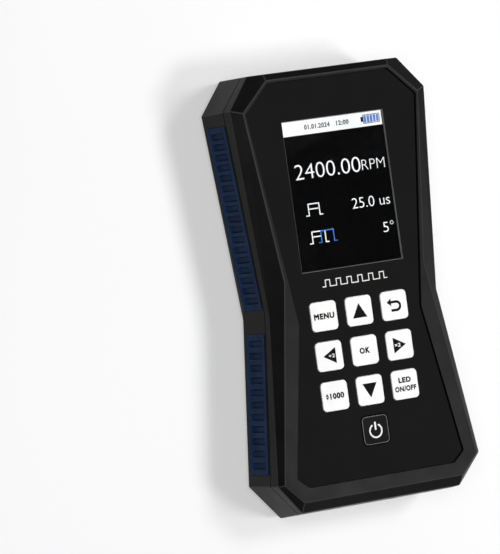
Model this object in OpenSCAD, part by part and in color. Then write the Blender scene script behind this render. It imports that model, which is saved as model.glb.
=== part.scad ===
// Handheld LED stroboscope: a waisted plastic case with three hexagonal flash
// windows in its nose, a colour display, ten keys and rubber side grips.
// The face looks along +Z, the flash windows look along +Y, and the part lies
// on its four feet at z = 0.

/* [Case outline] */
// Length from the end wall to the nose
body_l = 170; // [166:0.5:176]
// Thickness from the back face to the raised rim
body_t = 31.9; // [31:0.1:34]
// Width of the nose face
nose_w = 64.8; // [62:0.2:68]
// Width across the shoulders, the widest place of the head
head_w = 84; // [82:0.2:88]
// Distance from the nose back to the shoulders
head_back = 12.2; // [11:0.2:14]
// Width of the waist
waist_w = 72.6; // [71:0.2:75]
// Distance from the nose back to the waist
waist_back = 91.2; // [88:0.2:94]
// Width across the hips, the widest place of the tail
tail_w = 87.6; // [86:0.2:92]
// Distance from the end wall up to the hips
tail_up = 14.4; // [13:0.2:16]
// Width of the end wall
end_w = 64; // [62:0.2:68]
// How far the end wall leans in, in degrees
end_lean = 6.2; // [3:0.1:8]
// Wall thickness
wall = 2.4; // [2.2:0.05:2.6]

/* [Back] */
// Height of the bevel round the back face
back_bevel_h = 3.9; // [3:0.1:5]
// Width of the bevel round the back face
back_bevel_w = 4; // [3:0.1:5]
// How much lower that bevel starts beside the display and at the lower corners
back_bevel_step = 0.3; // [0.2:0.05:0.6]
// Height of the rubber feet below the back face
foot_h = 1.1; // [0.6:0.1:2]
// Radius of a foot
foot_r = 3.6; // [3:0.1:4]
// Depth of a foot's recess
foot_sink = 0.8; // [0.5:0.1:1.2]
// Sideways place of the feet at the head
head_foot_x = 34; // [32:0.2:34.4]
// Distance from the nose to the feet at the head
head_foot_back = 14.6; // [14:0.2:18]
// Sideways place of the feet at the tail
tail_foot_x = 32.4; // [30:0.2:33]
// Distance from the end wall to the feet at the tail
tail_foot_up = 15.2; // [14.6:0.2:17]

/* [Front rim] */
// Width of the rim's nose edge
rim_nose_w = 52.6; // [50:0.2:56]
// Distance from the nose face to the rim
rim_nose_in = 2.5; // [2:0.1:3]
// Width of the rim across the shoulders
rim_head_w = 75.2; // [73:0.2:77]
// Distance from the nose face to the rim's shoulders
rim_head_back = 13.7; // [13:0.1:15]
// Width of the rim at its waist
rim_waist_w = 60.2; // [59:0.2:62]
// Distance from the nose face to the rim's waist
rim_waist_back = 79; // [77:0.2:81]
// Width of the rim across the hips
rim_tail_w = 83.4; // [82:0.2:84]
// Distance from the end wall to the rim's hips
rim_tail_up = 14.5; // [13.5:0.1:15.5]
// Width of the rim's end edge
rim_end_w = 69; // [67:0.2:71]
// Distance from the end wall to the rim
rim_end_in = 6.9; // [6:0.1:8]
// Slope of the bevel at the nose, in degrees
nose_slope = 26.5; // [20:0.5:32]
// Slope of the bevels at the shoulders
shoulder_slope = 31.5; // [28:0.5:35]
// Slope of the long bevels beside the display
upper_slope = 31; // [28:0.5:34]
// Slope of the long bevels beside the keys
lower_slope = 45.5; // [42:0.5:48]
// Slope of the bevels at the lower corners
corner_slope = 54; // [50:0.5:58]
// Slope of the bevel at the end wall
end_slope = 43; // [38:0.5:46]

/* [Seam] */
// Height of the seam between the housings above the back face
seam_h = 23.6; // [22.6:0.1:24]
// Height of the shadow line along the seam
shadow_h = 0.4; // [0.2:0.05:0.6]
// Depth of the shadow line
shadow_d = 0.35; // [0.2:0.05:0.6]
// Height of the tongue on the rear housing
tongue_h = 1.2; // [0.8:0.1:1.6]
// Thickness of the tongue
tongue_t = 0.8; // [0.6:0.05:0.9]
// Gap round the tongue in its groove
tongue_gap = 0.1; // [0.05:0.05:0.15]

/* [Front overlay] */
// Depth of the overlay's face below the rim
overlay_sink = 0.9; // [0.4:0.1:1.2]
// Thickness of the overlay
overlay_t = 0.6; // [0.4:0.1:0.8]
// Gap round the overlay
overlay_gap = 0.25; // [0.15:0.05:0.4]
// Width of the overlay's nose edge
overlay_nose_w = 51.4; // [49:0.2:52]
// Distance from the nose face to the overlay
overlay_nose_in = 3.8; // [3.6:0.1:4.4]
// Width of the overlay across the shoulders
overlay_head_w = 72.8; // [71:0.2:73.4]
// Distance from the nose face to the overlay's shoulders
overlay_head_back = 14.6; // [14.2:0.1:16]
// Width of the overlay at its waist
overlay_waist_w = 52.4; // [50:0.2:54]
// Distance from the nose face to the overlay's waist
overlay_waist_back = 96; // [94:0.2:98]
// Width of the overlay across the hips
overlay_tail_w = 71.8; // [70:0.2:73]
// Distance from the end wall to the overlay's hips
overlay_tail_up = 16.4; // [15.6:0.1:18]
// Width of the overlay's end edge
overlay_end_w = 62.8; // [61:0.2:64]
// Distance from the end wall to the overlay
overlay_end_in = 12.4; // [11.6:0.1:13.4]
// Radius of the overlay's inward corners
overlay_waist_r = 3; // [1:0.5:5]
// Thickness of the front wall below the overlay
face_t = 2.2; // [2:0.1:2.6]

/* [Display] */
// Width of the visible screen
screen_w = 43.2; // [42:0.2:44]
// Height of the visible screen
screen_h = 57.6; // [56:0.2:58]
// Distance from the nose face to the middle of the screen
screen_back = 48; // [47.6:0.1:48.6]
// Margin of the overlay's cut-out round the screen
screen_margin = 0.2; // [0.1:0.05:0.4]
// Border of the window under the overlay
window_border = 1.2; // [0.8:0.1:1.6]
// Thickness of the window
window_t = 0.95; // [0.8:0.05:1]
// Thickness of the display glass
glass_t = 1.1; // [1:0.05:1.15]
// Gap between the window and the display glass
display_air = 0.15; // [0.1:0.05:0.2]
// Width of the backlight frame beyond the window on each side
light_border = 1.5; // [1:0.1:2]
// Length of the backlight frame beyond the window at each end
light_tail = 2.6; // [2:0.1:3]
// Gap round the display's pieces
display_gap = 0.2; // [0.1:0.05:0.3]

/* [Keys] */
// Side of a key
key_w = 11.3; // [10.8:0.1:11.6]
// Corner radius of a key
key_r = 1.7; // [1:0.1:2.4]
// Distance between the columns of keys
key_pitch_x = 15.2; // [15:0.1:15.6]
// Distance between the rows of keys
key_pitch_y = 15.35; // [15:0.05:15.6]
// Distance from the nose face to the first row of keys
key_first_back = 94.2; // [94:0.1:95]
// Height of a key above the overlay
key_proud = 0.2; // [0:0.1:0.6]
// Gap round a key in its cut-out
key_gap = 0.2; // [0.15:0.05:0.3]
// Width of the flange round a key's foot
key_flange = 0.65; // [0.5:0.05:0.8]
// Thickness of that flange
key_flange_t = 0.8; // [0.6:0.1:1]
// Gap between the flange and the front wall
key_rest_gap = 0.05; // [0.03:0.01:0.1]
// Travel of a key
key_travel = 0.35; // [0.25:0.05:0.4]
// Radius of a key's plunger
plunger_r = 1.5; // [1:0.1:2]
// Height of a dome switch
dome_h = 0.45; // [0.35:0.05:0.5]
// Radius of a dome switch
dome_r = 3; // [2.5:0.1:3.5]

/* [Main board] */
// Thickness of the main board
board_t = 1.6; // [1.2:0.1:1.7]
// Gap between the board's top and the front wall
board_drop = 2.1; // [2.05:0.05:2.2]
// Gap between the main board and the wall
board_gap = 0.8; // [0.6:0.1:1.2]
// Distance from the nose face to the main board
board_nose_in = 15; // [14.6:0.1:15.4]
// Distance from the end wall to the main board
board_end_in = 11; // [10:0.5:12]
// Radius of a board screw
board_screw_r = 1; // [0.9:0.05:1.1]
// Length of a board screw
board_screw_l = 5; // [4.6:0.1:5.2]
// Radius of a board screw's head
board_screw_head_r = 1.9; // [1.7:0.1:2]
// Height of a board screw's head
board_screw_head_h = 1.3; // [1:0.1:1.6]
// Radius of the front housing's bosses for the board
board_boss_r = 2.4; // [2.2:0.1:2.6]

/* [Flash lamps] */
// Distance between the flash windows
lamp_pitch = 15.6; // [15.4:0.1:16]
// Height of the windows' centres above the back face
lamp_h = 14.5; // [14:0.1:15]
// Width of a hexagonal window across its flats
lamp_w = 13.4; // [13:0.1:13.8]
// Gap round a lens in its window
lens_gap = 0.1; // [0.05:0.05:0.2]
// Depth of a lens's face below the nose face
lens_sink = 0.4; // [0.2:0.1:0.8]
// Width of a lens's flange beyond the window
lens_flange = 0.8; // [0.5:0.05:0.9]
// Thickness of that flange
lens_flange_t = 1.1; // [0.9:0.1:1.4]
// Radius of the round optic in a lens's face
optic_r = 5.6; // [5:0.1:6]
// Width of the groove round the optic
optic_groove = 0.4; // [0.3:0.05:0.6]
// Length of a reflector
reflector_l = 10.2; // [9.8:0.1:10.6]
// Radius of a reflector's mouth
reflector_mouth_r = 7; // [6.6:0.1:7.2]
// Radius of a reflector's base
reflector_base_r = 4; // [3.8:0.1:4.4]
// Wall thickness of a reflector
reflector_t = 0.9; // [0.8:0.1:1.1]
// Width of the lamp board
lamp_board_w = 52; // [50:0.5:54]
// Height of the lamp board
lamp_board_h = 18; // [17:0.5:18.5]
// Thickness of the lamp board
lamp_board_t = 1.6; // [1.4:0.1:1.8]
// Side of an emitter's base
emitter_w = 3.5; // [3:0.1:4]
// Height of an emitter's base
emitter_t = 0.6; // [0.5:0.1:0.8]
// Radius of an emitter's dome
emitter_dome_r = 1.5; // [1.2:0.1:1.7]
// Width of the heat sink
sink_w = 46; // [44:0.5:47]
// Height of the heat sink
sink_h = 13.5; // [12:0.5:14]
// Thickness of the heat sink's base
sink_base_t = 3; // [2.5:0.1:3.5]
// Length of the heat sink's fins
fin_l = 8; // [6:0.5:9]
// Thickness of a fin
fin_t = 1.6; // [1.2:0.1:1.8]
// Number of fins
fin_n = 10; // [6:1:12]

/* [Battery] */
// Radius of a cell
cell_r = 9.1; // [8.9:0.05:9.2]
// Length of a cell with its button
cell_l = 65; // [64:0.5:66]
// Gap between the two cells
cell_gap = 1.2; // [1.1:0.1:1.6]
// Distance from the end wall to the back of the cells
cell_back = 18; // [16.5:0.5:20]
// Thickness of the holder's walls
holder_t = 1.3; // [1:0.1:1.5]
// Room for a contact at each end of the cells
contact_room = 0.9; // [0.8:0.05:1.2]
// Side of a contact plate
contact_w = 11; // [9:0.5:12]

/* [Sockets] */
// Width of the charging socket's shell
usb_w = 8.9; // [8.5:0.1:9.2]
// Height of the charging socket's shell
usb_h = 3.2; // [3:0.1:3.4]
// Length of the charging socket's shell
usb_l = 7.3; // [6.5:0.1:8]
// Distance of each socket from the middle
socket_x = 11; // [10:0.2:12]
// Bore radius of the trigger socket
jack_bore_r = 1.8; // [1.75:0.01:1.85]
// Radius of the trigger socket's sleeve
jack_r = 3; // [2.8:0.1:3.2]
// Length of the trigger socket's body
jack_l = 10.5; // [10:0.5:11]
// Gap round the sockets in the end wall
socket_gap = 0.25; // [0.15:0.05:0.35]
// Height of the port board above the housing's floor
port_h = 7; // [6.5:0.1:7.5]
// Width of the port board
port_w = 42; // [40:0.5:44]
// Length of the port board
port_l = 9.6; // [9:0.1:10]

/* [Fastenings] */
// Radius of the tripod insert's bore, as tapped for a quarter inch screw
tripod_bore_r = 2.6; // [2.5:0.05:2.7]
// Outer radius of the tripod insert
tripod_r = 4.8; // [4.5:0.1:5]
// Length of the tripod insert
tripod_l = 9; // [8:0.5:10]
// Distance from the nose face to the tripod insert
tripod_back = 60; // [58:0.5:64]
// Shank radius of a case screw
case_screw_r = 1.45; // [1.3:0.05:1.5]
// Length of a case screw's shank
case_screw_l = 15.2; // [14.5:0.1:15.4]
// Head radius of a case screw
case_head_r = 2.8; // [2.5:0.1:3]
// Head height of a case screw
case_head_h = 2; // [1.6:0.1:2.4]
// Depth of the screw wells from the back face
well_d = 11.9; // [11.6:0.1:12.5]
// Gap round a screw's shank and head
screw_gap = 0.1; // [0.05:0.05:0.15]
// Wall of the columns round the screw wells
column_t = 1.4; // [1.2:0.1:1.6]

/* [Side grips] */
// Depth of a grip's pocket in the wall
grip_sink = 1.2; // [1:0.1:1.3]
// Height of a grip above the wall
grip_proud = 0.4; // [0.2:0.1:0.8]
// Gap round a grip
grip_gap = 0.1; // [0.05:0.05:0.2]
// Corner radius of a grip
grip_r = 1; // [0.5:0.1:1.5]
// Height of the upper grips
upper_grip_h = 15.6; // [15:0.1:15.8]
// Length of the upper grips
upper_grip_l = 71.2; // [70:0.2:72]
// Distance from the shoulder to an upper grip
upper_grip_start = 5.3; // [5:0.1:6]
// Number of slots in an upper grip
upper_slot_n = 17; // [12:1:17]
// Height of the lower grips
lower_grip_h = 15.5; // [15:0.1:15.7]
// Length of the lower grips
lower_grip_l = 53.9; // [53:0.2:54.6]
// Distance from the waist to a lower grip
lower_grip_start = 6.6; // [6.2:0.1:7]
// Number of slots in a lower grip
lower_slot_n = 11; // [8:1:11]
// Height of the grips' lower edge above the back face
grip_up = 6.8; // [6.4:0.1:7]
// Width of a slot
slot_w = 2.65; // [2.2:0.05:2.8]
// Depth of a slot
slot_d = 1.1; // [0.8:0.1:1.2]
// Margin between a slot's ends and the grip's edges
slot_margin = 1.6; // [1.2:0.1:2.2]
// Corner radius of a slot
slot_r = 0.9; // [0.5:0.1:1.1]

/* [Hidden] */
$fn = 48;

// Colours
black_plastic = [0.10, 0.10, 0.10];
case_plastic = [0.17, 0.17, 0.17];
film_black = [0.05, 0.05, 0.05];
key_white = [0.95, 0.95, 0.95];
grip_blue = [0.12, 0.18, 0.32];
board_green = [0.10, 0.35, 0.18];
chip_black = [0.13, 0.13, 0.14];
steel = [0.72, 0.73, 0.75];
alloy = [0.80, 0.81, 0.83];
brass = [0.80, 0.64, 0.30];
clear = [0.85, 0.90, 0.95];
lamp_yellow = [0.95, 0.90, 0.55];
cell_blue = [0.20, 0.35, 0.60];

// Heights
z_back = foot_h;
z_floor = z_back + wall;
z_bevel = z_back + back_bevel_h;
z_bevel_low = z_bevel - back_bevel_step;
z_seam = z_back + seam_h;
z_rim = z_back + body_t;
z_face = z_rim - overlay_sink;
z_film = z_face - overlay_t;
z_inner = z_film - face_t;
z_board = z_inner - board_drop;
z_under = z_board - board_t;
z_lamp = z_back + lamp_h;

// Places along the body
y_nose = body_l / 2;
y_end = -body_l / 2;
y_screen = y_nose - screen_back;
y_cell = y_end + cell_back;
y_tripod = y_nose - tripod_back;

// Corners of the case on its right side
nose_c = [nose_w / 2, y_nose];
head_c = [head_w / 2, y_nose - head_back];
waist_c = [waist_w / 2, y_nose - waist_back];
tail_c = [tail_w / 2, y_end + tail_up];
end_c = [end_w / 2, y_end];

// Corners of the rim on its right side
rim_nose_c = [rim_nose_w / 2, y_nose - rim_nose_in];
rim_head_c = [rim_head_w / 2, y_nose - rim_head_back];
rim_waist_c = [rim_waist_w / 2, y_nose - rim_waist_back];
rim_tail_c = [rim_tail_w / 2, y_end + rim_tail_up];
rim_end_c = [rim_end_w / 2, y_end + rim_end_in];

// Corners of the overlay on its right side
overlay_corners = [
    [overlay_nose_w / 2, y_nose - overlay_nose_in],
    [overlay_head_w / 2, y_nose - overlay_head_back],
    [overlay_waist_w / 2, y_nose - overlay_waist_back],
    [overlay_tail_w / 2, y_end + overlay_tail_up],
    [overlay_end_w / 2, y_end + overlay_end_in]
];
overlay_corner_r = [0.5, 1, overlay_waist_r, 1, 0.5];

// The head and the tail each reach this far past the waist into the other
lobe_reach = 50;
// The tail is cut from a block this much longer by the leaning end wall
end_spare = 2;
far = 300;
back_slope = atan2(back_bevel_h, back_bevel_w);

// The leaning end wall at the height z
function end_y(z) = y_end + (z - z_bevel) * tan(end_lean);
// Half the width of the line from p to q where it passes y
function line_x(p, q, y) = p.x + (q.x - p.x) * (y - p.y) / (q.y - p.y);
// A right half outline, nose first, with its mirror image
function both_halves(half) = concat(half, [for (i = [len(half) - 1 : -1 : 0]) [-half[i].x, half[i].y]]);
// Left normal of the way from a to b, which points out of a clockwise outline
function out_of(a, b) = [a.y - b.y, b.x - a.x] / norm(b - a);
function cross2(a, b) = a.x * b.y - a.y * b.x;
// The corner b between a and c, after both sides have moved in by d
function inset_corner(a, b, c, d) =
    let (n = out_of(a, b), m = out_of(b, c), p = n * b - d, q = m * b - d)
    [p * m.y - q * n.y, n.x * q - m.x * p] / cross2(n, m);
// A clockwise outline moved in by d
function inset(pts, d) = [
    for (i = [0 : len(pts) - 1])
        inset_corner(pts[(i + len(pts) - 1) % len(pts)], pts[i], pts[(i + 1) % len(pts)], d)
];
// Points of an arc of radius r that rounds the corner b between a and c
function round_corner(a, b, c, r, steps = 6) =
    let (
        u = (a - b) / norm(a - b),
        v = (c - b) / norm(c - b),
        half_angle = acos(u * v) / 2,
        mid = (u + v) / norm(u + v),
        centre = b + mid * r / sin(half_angle),
        sweep = (90 - half_angle) * sign(cross2(u, v))
    )
    [
        for (i = [0 : steps])
            let (t = sweep * (1 - 2 * i / steps), w = -mid)
            centre + r * [w.x * cos(t) - w.y * sin(t), w.x * sin(t) + w.y * cos(t)]
    ];
// A clockwise outline with each corner rounded by its own radius
function rounded(pts, radii) = [
    for (i = [0 : len(pts) - 1])
        each round_corner(
            pts[(i + len(pts) - 1) % len(pts)], pts[i], pts[(i + 1) % len(pts)], radii[i])
];
function mirrored(list) = concat(list, [for (i = [len(list) - 1 : -1 : 0]) list[i]]);

head_half = [nose_c, head_c, [line_x(head_c, waist_c, waist_c.y - lobe_reach), waist_c.y - lobe_reach]];
tail_half = [
    [line_x(waist_c, tail_c, waist_c.y + lobe_reach), waist_c.y + lobe_reach],
    tail_c,
    [line_x(tail_c, end_c, y_end - end_spare), y_end - end_spare]
];
seam_end_c = [line_x(tail_c, end_c, end_y(z_seam)), end_y(z_seam)];
seam_outline = both_halves([nose_c, head_c, waist_c, tail_c, seam_end_c]);
board_outline = inset(seam_outline, wall + board_gap);

// Case screws: how far each lies inside a corner of the case, and along it
head_screw_in = 9;
head_screw_back = 14.8;
waist_screw_in = 7.6;
waist_screw_up = 2.2;
tail_screw_in = 8.8;
tail_screw_up = 12.6;
case_screw_places = [
    [head_c.x - head_screw_in, head_c.y - head_screw_back],
    [waist_c.x - waist_screw_in, waist_c.y + waist_screw_up],
    [tail_c.x - tail_screw_in, tail_c.y + tail_screw_up]
];

// Board screws: how far each lies outside the screen or the side keys, and along them
screen_screw_out = 8.4;
screen_screw_down = 3;
key_screw_out = 10.8;
key_screw_rows = 1.4;
end_screw_out = 12.8;
end_screw_up = 6;
board_screw_places = [
    [screen_w / 2 + screen_screw_out, y_screen - screen_screw_down],
    [key_pitch_x + key_screw_out, y_nose - key_first_back - key_screw_rows * key_pitch_y],
    [key_pitch_x + end_screw_out, y_end + board_end_in + end_screw_up]
];
foot_places = [
    [head_foot_x, y_nose - head_foot_back],
    [tail_foot_x, y_end + tail_foot_up]
];
post_x = port_w / 2 - 3.4;
z_port = z_floor + port_h;
port_board_t = 1.6;
z_port_top = z_port + port_board_t;
z_usb = z_port_top + usb_h / 2;
z_jack = z_port_top + jack_r;
y_port = end_y(z_port) + wall + 0.5;
post_y = y_port + port_l / 2 + 1;
post_r = 2.5;
port_screw_l = 5;
case_boss_t = 2;
case_boss_r = case_screw_r + screw_gap + case_boss_t;
boss_gap = 0.6;
tongue_in = (wall - tongue_t) / 2 + shadow_d / 2;
tongue_root = 0.2;
foot_gap = 0.1;
insert_gap = 0.05;
insert_sink = 0.1;
tripod_boss_t = 2.2;
tripod_boss_floor = 1.5;

// Display stack, from the overlay down
window_size = [screen_w + 2 * (screen_margin + window_border), screen_h + 2 * (screen_margin + window_border)];
glass_size = window_size - [1, 1];
light_size = window_size + 2 * [light_border, light_tail];
light_gap = 0.5;
z_glass = z_film - window_t - display_air - glass_t;

// Keys
key_open_w = key_w + 2 * key_gap;
flange_w = key_open_w + 2 * key_flange - key_gap;
flange_r = key_r + key_flange;
z_flange = z_inner - key_rest_gap - key_flange_t;
z_key_top = z_face + key_proud;
press_gap = 0.05;
z_plunger = z_board + dome_h + key_travel + press_gap;
y_key = y_nose - key_first_back;
function key_place(column, row) = [column * key_pitch_x, y_key - row * key_pitch_y];
key_places = concat(
    [for (row = [0 : 2]) for (column = [-1 : 1]) key_place(column, row)],
    [key_place(0, 3)]
);

// Lamps, from the nose face back
y_lens = y_nose - lens_sink;
y_nose_in = y_nose - wall;
y_flange = y_nose_in - 0.05;
y_reflector = y_flange - lens_flange_t - 0.05;
y_lamp_board = y_reflector - reflector_l;
y_sink = y_lamp_board - lamp_board_t;
z_lamp_board = z_lamp - lamp_board_h / 2;
z_sink = z_lamp_board;
lamp_places = [-lamp_pitch, 0, lamp_pitch];
sink_screw_x = lamp_pitch / 2;
sink_screw_dz = 6.6;
sink_screw_r = 1.2;
rail_gap = 0.15;
rail_t = 1.6;
rail_w = 8;
rail_grip = 1.5;

// Parts under the main board, each with its place and its size
processor_w = 12;
chip_w = 8;
chip_l = 6;
chip_t = 1.4;
chip_dx = 17;
chip_dy = 6;
clock_w = 5;
clock_l = 3.2;
clock_dy = 20;
coil_t = 4.5;
coil_down = 13.3;
plug_w = 14;
plug_l = 4;
plug_t = 3;
plug_up = 15.5;
coil_x = board_screw_places[1].x;
coil_y = board_screw_places[1].y - coil_down;
chips = [
    [[0, y_screen - chip_dy], [processor_w, processor_w, chip_t]],
    [[-chip_dx, y_screen - chip_dy], [chip_w, chip_l, chip_t]],
    [[chip_dx, y_screen + chip_dy], [chip_w, chip_l, chip_t]],
    [[0, y_screen - clock_dy], [clock_w, clock_l, chip_t]],
    [[coil_x, coil_y], [chip_w, chip_l, coil_t]],
    [[-coil_x, coil_y], [chip_w, chip_l, coil_t]],
    [[0, y_end + plug_up], [plug_w, plug_l, plug_t]]
];
capacitor_x = 22;
capacitor_dy = 20;
capacitor_r = 3;
capacitor_h = 5;

// Battery
z_cell = z_floor + holder_t + 0.1 + cell_r;
cell_x = cell_r + cell_gap / 2;
holder_w = 2 * (cell_x + cell_r + 0.3 + holder_t);
holder_l = cell_l + 2 * (contact_room + holder_t);
y_holder = y_cell - contact_room - holder_t;
button_r = 2.8;
button_h = 1.2;
contact_t = 0.4;

// Side grips
z_grip = z_back + grip_up;

// Shared shapes
module both_sides() {
    children();
    mirror([1, 0, 0]) children();
}

module place_edge(p, q, z) {
    translate([p.x, p.y, z])
        rotate([0, 0, atan2(q.y - p.y, q.x - p.x)])
            children();
}

// Everything above the plane that leaves the line p to q at height z and falls outwards
module above_slope(p, q, z, slope, d) {
    place_edge(p, q, z)
        rotate([-slope, 0, 0])
            translate([-far, -far, -d])
                cube([2 * far, 2 * far, far]);
}

// Everything below the plane that leaves the line p to q at height z and rises outwards
module below_slope(p, q, z, slope, d) {
    place_edge(p, q, z)
        rotate([slope, 0, 0])
            translate([-far, -far, d - far])
                cube([2 * far, 2 * far, far]);
}

// Everything outside the leaning end wall
module behind_end(d) {
    translate([0, y_end, z_bevel])
        rotate([-end_lean, 0, 0])
            translate([-far, d - far, -far])
                cube([2 * far, far, 2 * far]);
}

// The head of the case with all its faces moved in by d
module head_lobe(d) {
    difference() {
        translate([0, 0, z_back + d])
            linear_extrude(body_t - 2 * d)
                polygon(inset(both_halves(head_half), d));
        above_slope([-rim_nose_c.x, rim_nose_c.y], rim_nose_c, z_rim, nose_slope, d);
        both_sides() {
            above_slope(rim_nose_c, rim_head_c, z_rim, shoulder_slope, d);
            above_slope(rim_head_c, rim_waist_c, z_rim, upper_slope, d);
            below_slope(nose_c, head_c, z_bevel, back_slope, d);
            below_slope(head_c, waist_c, z_bevel_low, back_slope, d);
        }
    }
}

// The tail of the case with all its faces moved in by d
module tail_lobe(d) {
    difference() {
        translate([0, 0, z_back + d])
            linear_extrude(body_t - 2 * d)
                polygon(inset(both_halves(tail_half), d));
        behind_end(d);
        above_slope(rim_end_c, [-rim_end_c.x, rim_end_c.y], z_rim, end_slope, d);
        below_slope(end_c, [-end_c.x, end_c.y], z_bevel, back_slope, d);
        both_sides() {
            above_slope(rim_waist_c, rim_tail_c, z_rim, lower_slope, d);
            above_slope(rim_tail_c, rim_end_c, z_rim, corner_slope, d);
            below_slope(waist_c, tail_c, z_bevel, back_slope, d);
            below_slope(tail_c, end_c, z_bevel_low, back_slope, d);
        }
    }
}

module case_shape(d = 0) {
    head_lobe(d);
    tail_lobe(d);
}

module slab(z_low, z_high) {
    translate([-far, -far, z_low])
        cube([2 * far, 2 * far, z_high - z_low]);
}

module rounded_rect(size, r) {
    square([size.x - 2 * r, size.y], center = true);
    square([size.x, size.y - 2 * r], center = true);
    for (x = [-1, 1])
        for (y = [-1, 1])
            translate([x * (size.x / 2 - r), y * (size.y / 2 - r)])
                circle(r);
}

module plate(size, r, z, t) {
    translate([0, 0, z])
        linear_extrude(t)
            rounded_rect(size, r);
}

module rod(place, r, z_low, z_high) {
    translate([place.x, place.y, z_low])
        cylinder(r = r, h = z_high - z_low);
}

// A cylinder that runs along Y
module rod_y(x, y, z, r, l) {
    translate([x, y, z])
        rotate([-90, 0, 0])
            cylinder(r = r, h = l);
}

// A hexagonal bar along Y, with corners at its top and bottom
module hex_y(x, y, z, flats, l) {
    translate([x, y, z])
        rotate([-90, 0, 0])
            rotate([0, 0, 30])
                cylinder(r = flats / sqrt(3), h = l, $fn = 6);
}

module centred_block(place, z, size) {
    translate([place.x - size.x / 2, place.y - size.y / 2, z])
        cube(size);
}

// Front housing
module seam_ring(outer_in, inner_in, root, h) {
    translate([0, 0, z_seam - root])
        linear_extrude(root + h)
            difference() {
                polygon(inset(seam_outline, outer_in));
                polygon(inset(seam_outline, inner_in));
            }
}

module overlay_shape(gap) {
    polygon(rounded(inset(both_halves(overlay_corners), -gap), mirrored(overlay_corner_r)));
}

module key_opening(place) {
    translate([place.x, place.y, 0]) {
        plate([key_open_w, key_open_w], key_r + key_gap, z_inner - 1, z_rim - z_inner + 2);
        plate([flange_w, flange_w] + 2 * [key_gap, key_gap], flange_r + key_gap, z_board, z_inner - z_board);
    }
}

module front_bosses() {
    both_sides() {
        for (place = case_screw_places)
            rod(place, case_boss_r, z_seam, z_inner + 1);
        for (place = board_screw_places)
            rod(place, board_boss_r, z_board, z_inner + 1);
    }
}

module front_screw_holes() {
    both_sides() {
        for (place = case_screw_places)
            rod(place, case_screw_r + screw_gap, z_seam - 1, z_back + well_d + case_screw_l + 0.2);
        for (place = board_screw_places)
            rod(place, board_screw_r + screw_gap, z_board - 1, z_under + board_screw_l + 0.2);
    }
}

module front_housing() {
    color(case_plastic)
        difference() {
            union() {
                difference() {
                    case_shape();
                    intersection() {
                        case_shape(wall);
                        slab(z_back, z_inner);
                    }
                }
                intersection() {
                    case_shape(wall / 2);
                    front_bosses();
                }
            }
            slab(-far, z_seam);
            seam_ring(tongue_in - tongue_gap, tongue_in + tongue_t + tongue_gap, 1, tongue_h + tongue_gap);
            translate([0, 0, z_film])
                linear_extrude(far)
                    overlay_shape(overlay_gap);
            translate([0, y_screen, 0])
                plate(window_size + 2 * [display_gap, display_gap], 0.8, z_inner - 1, far);
            for (place = key_places)
                key_opening(place);
            front_screw_holes();
        }
}

// Rear housing
module grip_slab(length, height, r, t) {
    translate([length / 2, 0, height / 2])
        rotate([-90, 0, 0])
            linear_extrude(t)
                rounded_rect([length, height], r);
}

// Puts a grip's own frame on the wall from p to q: x along it, y outwards, z up
module on_wall(p, q, start) {
    place_edge(p, q, z_grip)
        translate([start, 0, 0])
            children();
}

module grip_pocket(p, q, start, length, height) {
    on_wall(p, q, start)
        translate([-grip_gap, -grip_sink, -grip_gap])
            grip_slab(length + 2 * grip_gap, height + 2 * grip_gap, grip_r + grip_gap, 5);
}

module screw_column(place) {
    rod(place, case_head_r + screw_gap + column_t, z_back + wall / 2, z_seam);
}

module screw_well(place) {
    rod(place, case_head_r + screw_gap, z_back - 1, z_back + well_d);
    rod(place, case_screw_r + screw_gap, z_back, z_seam + 1);
}

module lamp_rails() {
    z_root = z_back + wall / 2;
    both_sides()
        for (y = [y_sink - rail_gap - rail_t, y_lamp_board + rail_gap])
            translate([lamp_board_w / 2 - rail_grip, y, z_root])
                cube([rail_w, rail_t, z_lamp_board + lamp_board_h - rail_grip - z_root]);
}

module rear_inside_parts() {
    both_sides()
        for (place = case_screw_places)
            screw_column(place);
    rod([0, y_tripod], tripod_r + tripod_boss_t, z_back + wall / 2, z_back + tripod_l + tripod_boss_floor);
    lamp_rails();
    both_sides()
        rod([post_x, post_y], post_r, z_back + wall / 2, z_port);
}

module usb_shape(grow) {
    rounded_rect([usb_w + 2 * grow, usb_h + 2 * grow], usb_h / 2 + grow - 0.01);
}

module usb_bar(y, l, grow) {
    translate([-socket_x, y, z_usb])
        rotate([-90, 0, 0])
            linear_extrude(l)
                usb_shape(grow);
}

module rear_housing() {
    color(case_plastic) {
        difference() {
            union() {
                difference() {
                    case_shape();
                    case_shape(wall);
                }
                intersection() {
                    case_shape(wall / 2);
                    rear_inside_parts();
                }
            }
            slab(z_seam, far);
            shadow_line();
            for (x = lamp_places)
                hex_y(x, y_nose - wall - 1, z_lamp, lamp_w, wall + 2);
            both_sides() {
                grip_pocket(head_c, waist_c, upper_grip_start, upper_grip_l, upper_grip_h);
                grip_pocket(waist_c, tail_c, lower_grip_start, lower_grip_l, lower_grip_h);
                for (place = case_screw_places)
                    screw_well(place);
                for (place = foot_places)
                    rod(place, foot_r + foot_gap, z_back - 1, z_back + foot_sink);
                rod([post_x, post_y], board_screw_r + screw_gap, z_port_top - port_screw_l - 0.2, z_port + 1);
            }
            rod([0, y_tripod], tripod_r + insert_gap, z_back - 1, z_back + insert_sink + tripod_l);
            usb_bar(y_end - 1, 2 * wall + 1, socket_gap);
            rod_y(socket_x, y_end - 1, z_jack, jack_r + socket_gap, 2 * wall + 1);
        }
        seam_ring(tongue_in, tongue_in + tongue_t, tongue_root, tongue_h);
    }
}

module shadow_line() {
    translate([0, 0, z_seam - shadow_h])
        linear_extrude(shadow_h)
            difference() {
                polygon(inset(seam_outline, -5));
                polygon(inset(seam_outline, shadow_d));
            }
}

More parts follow.
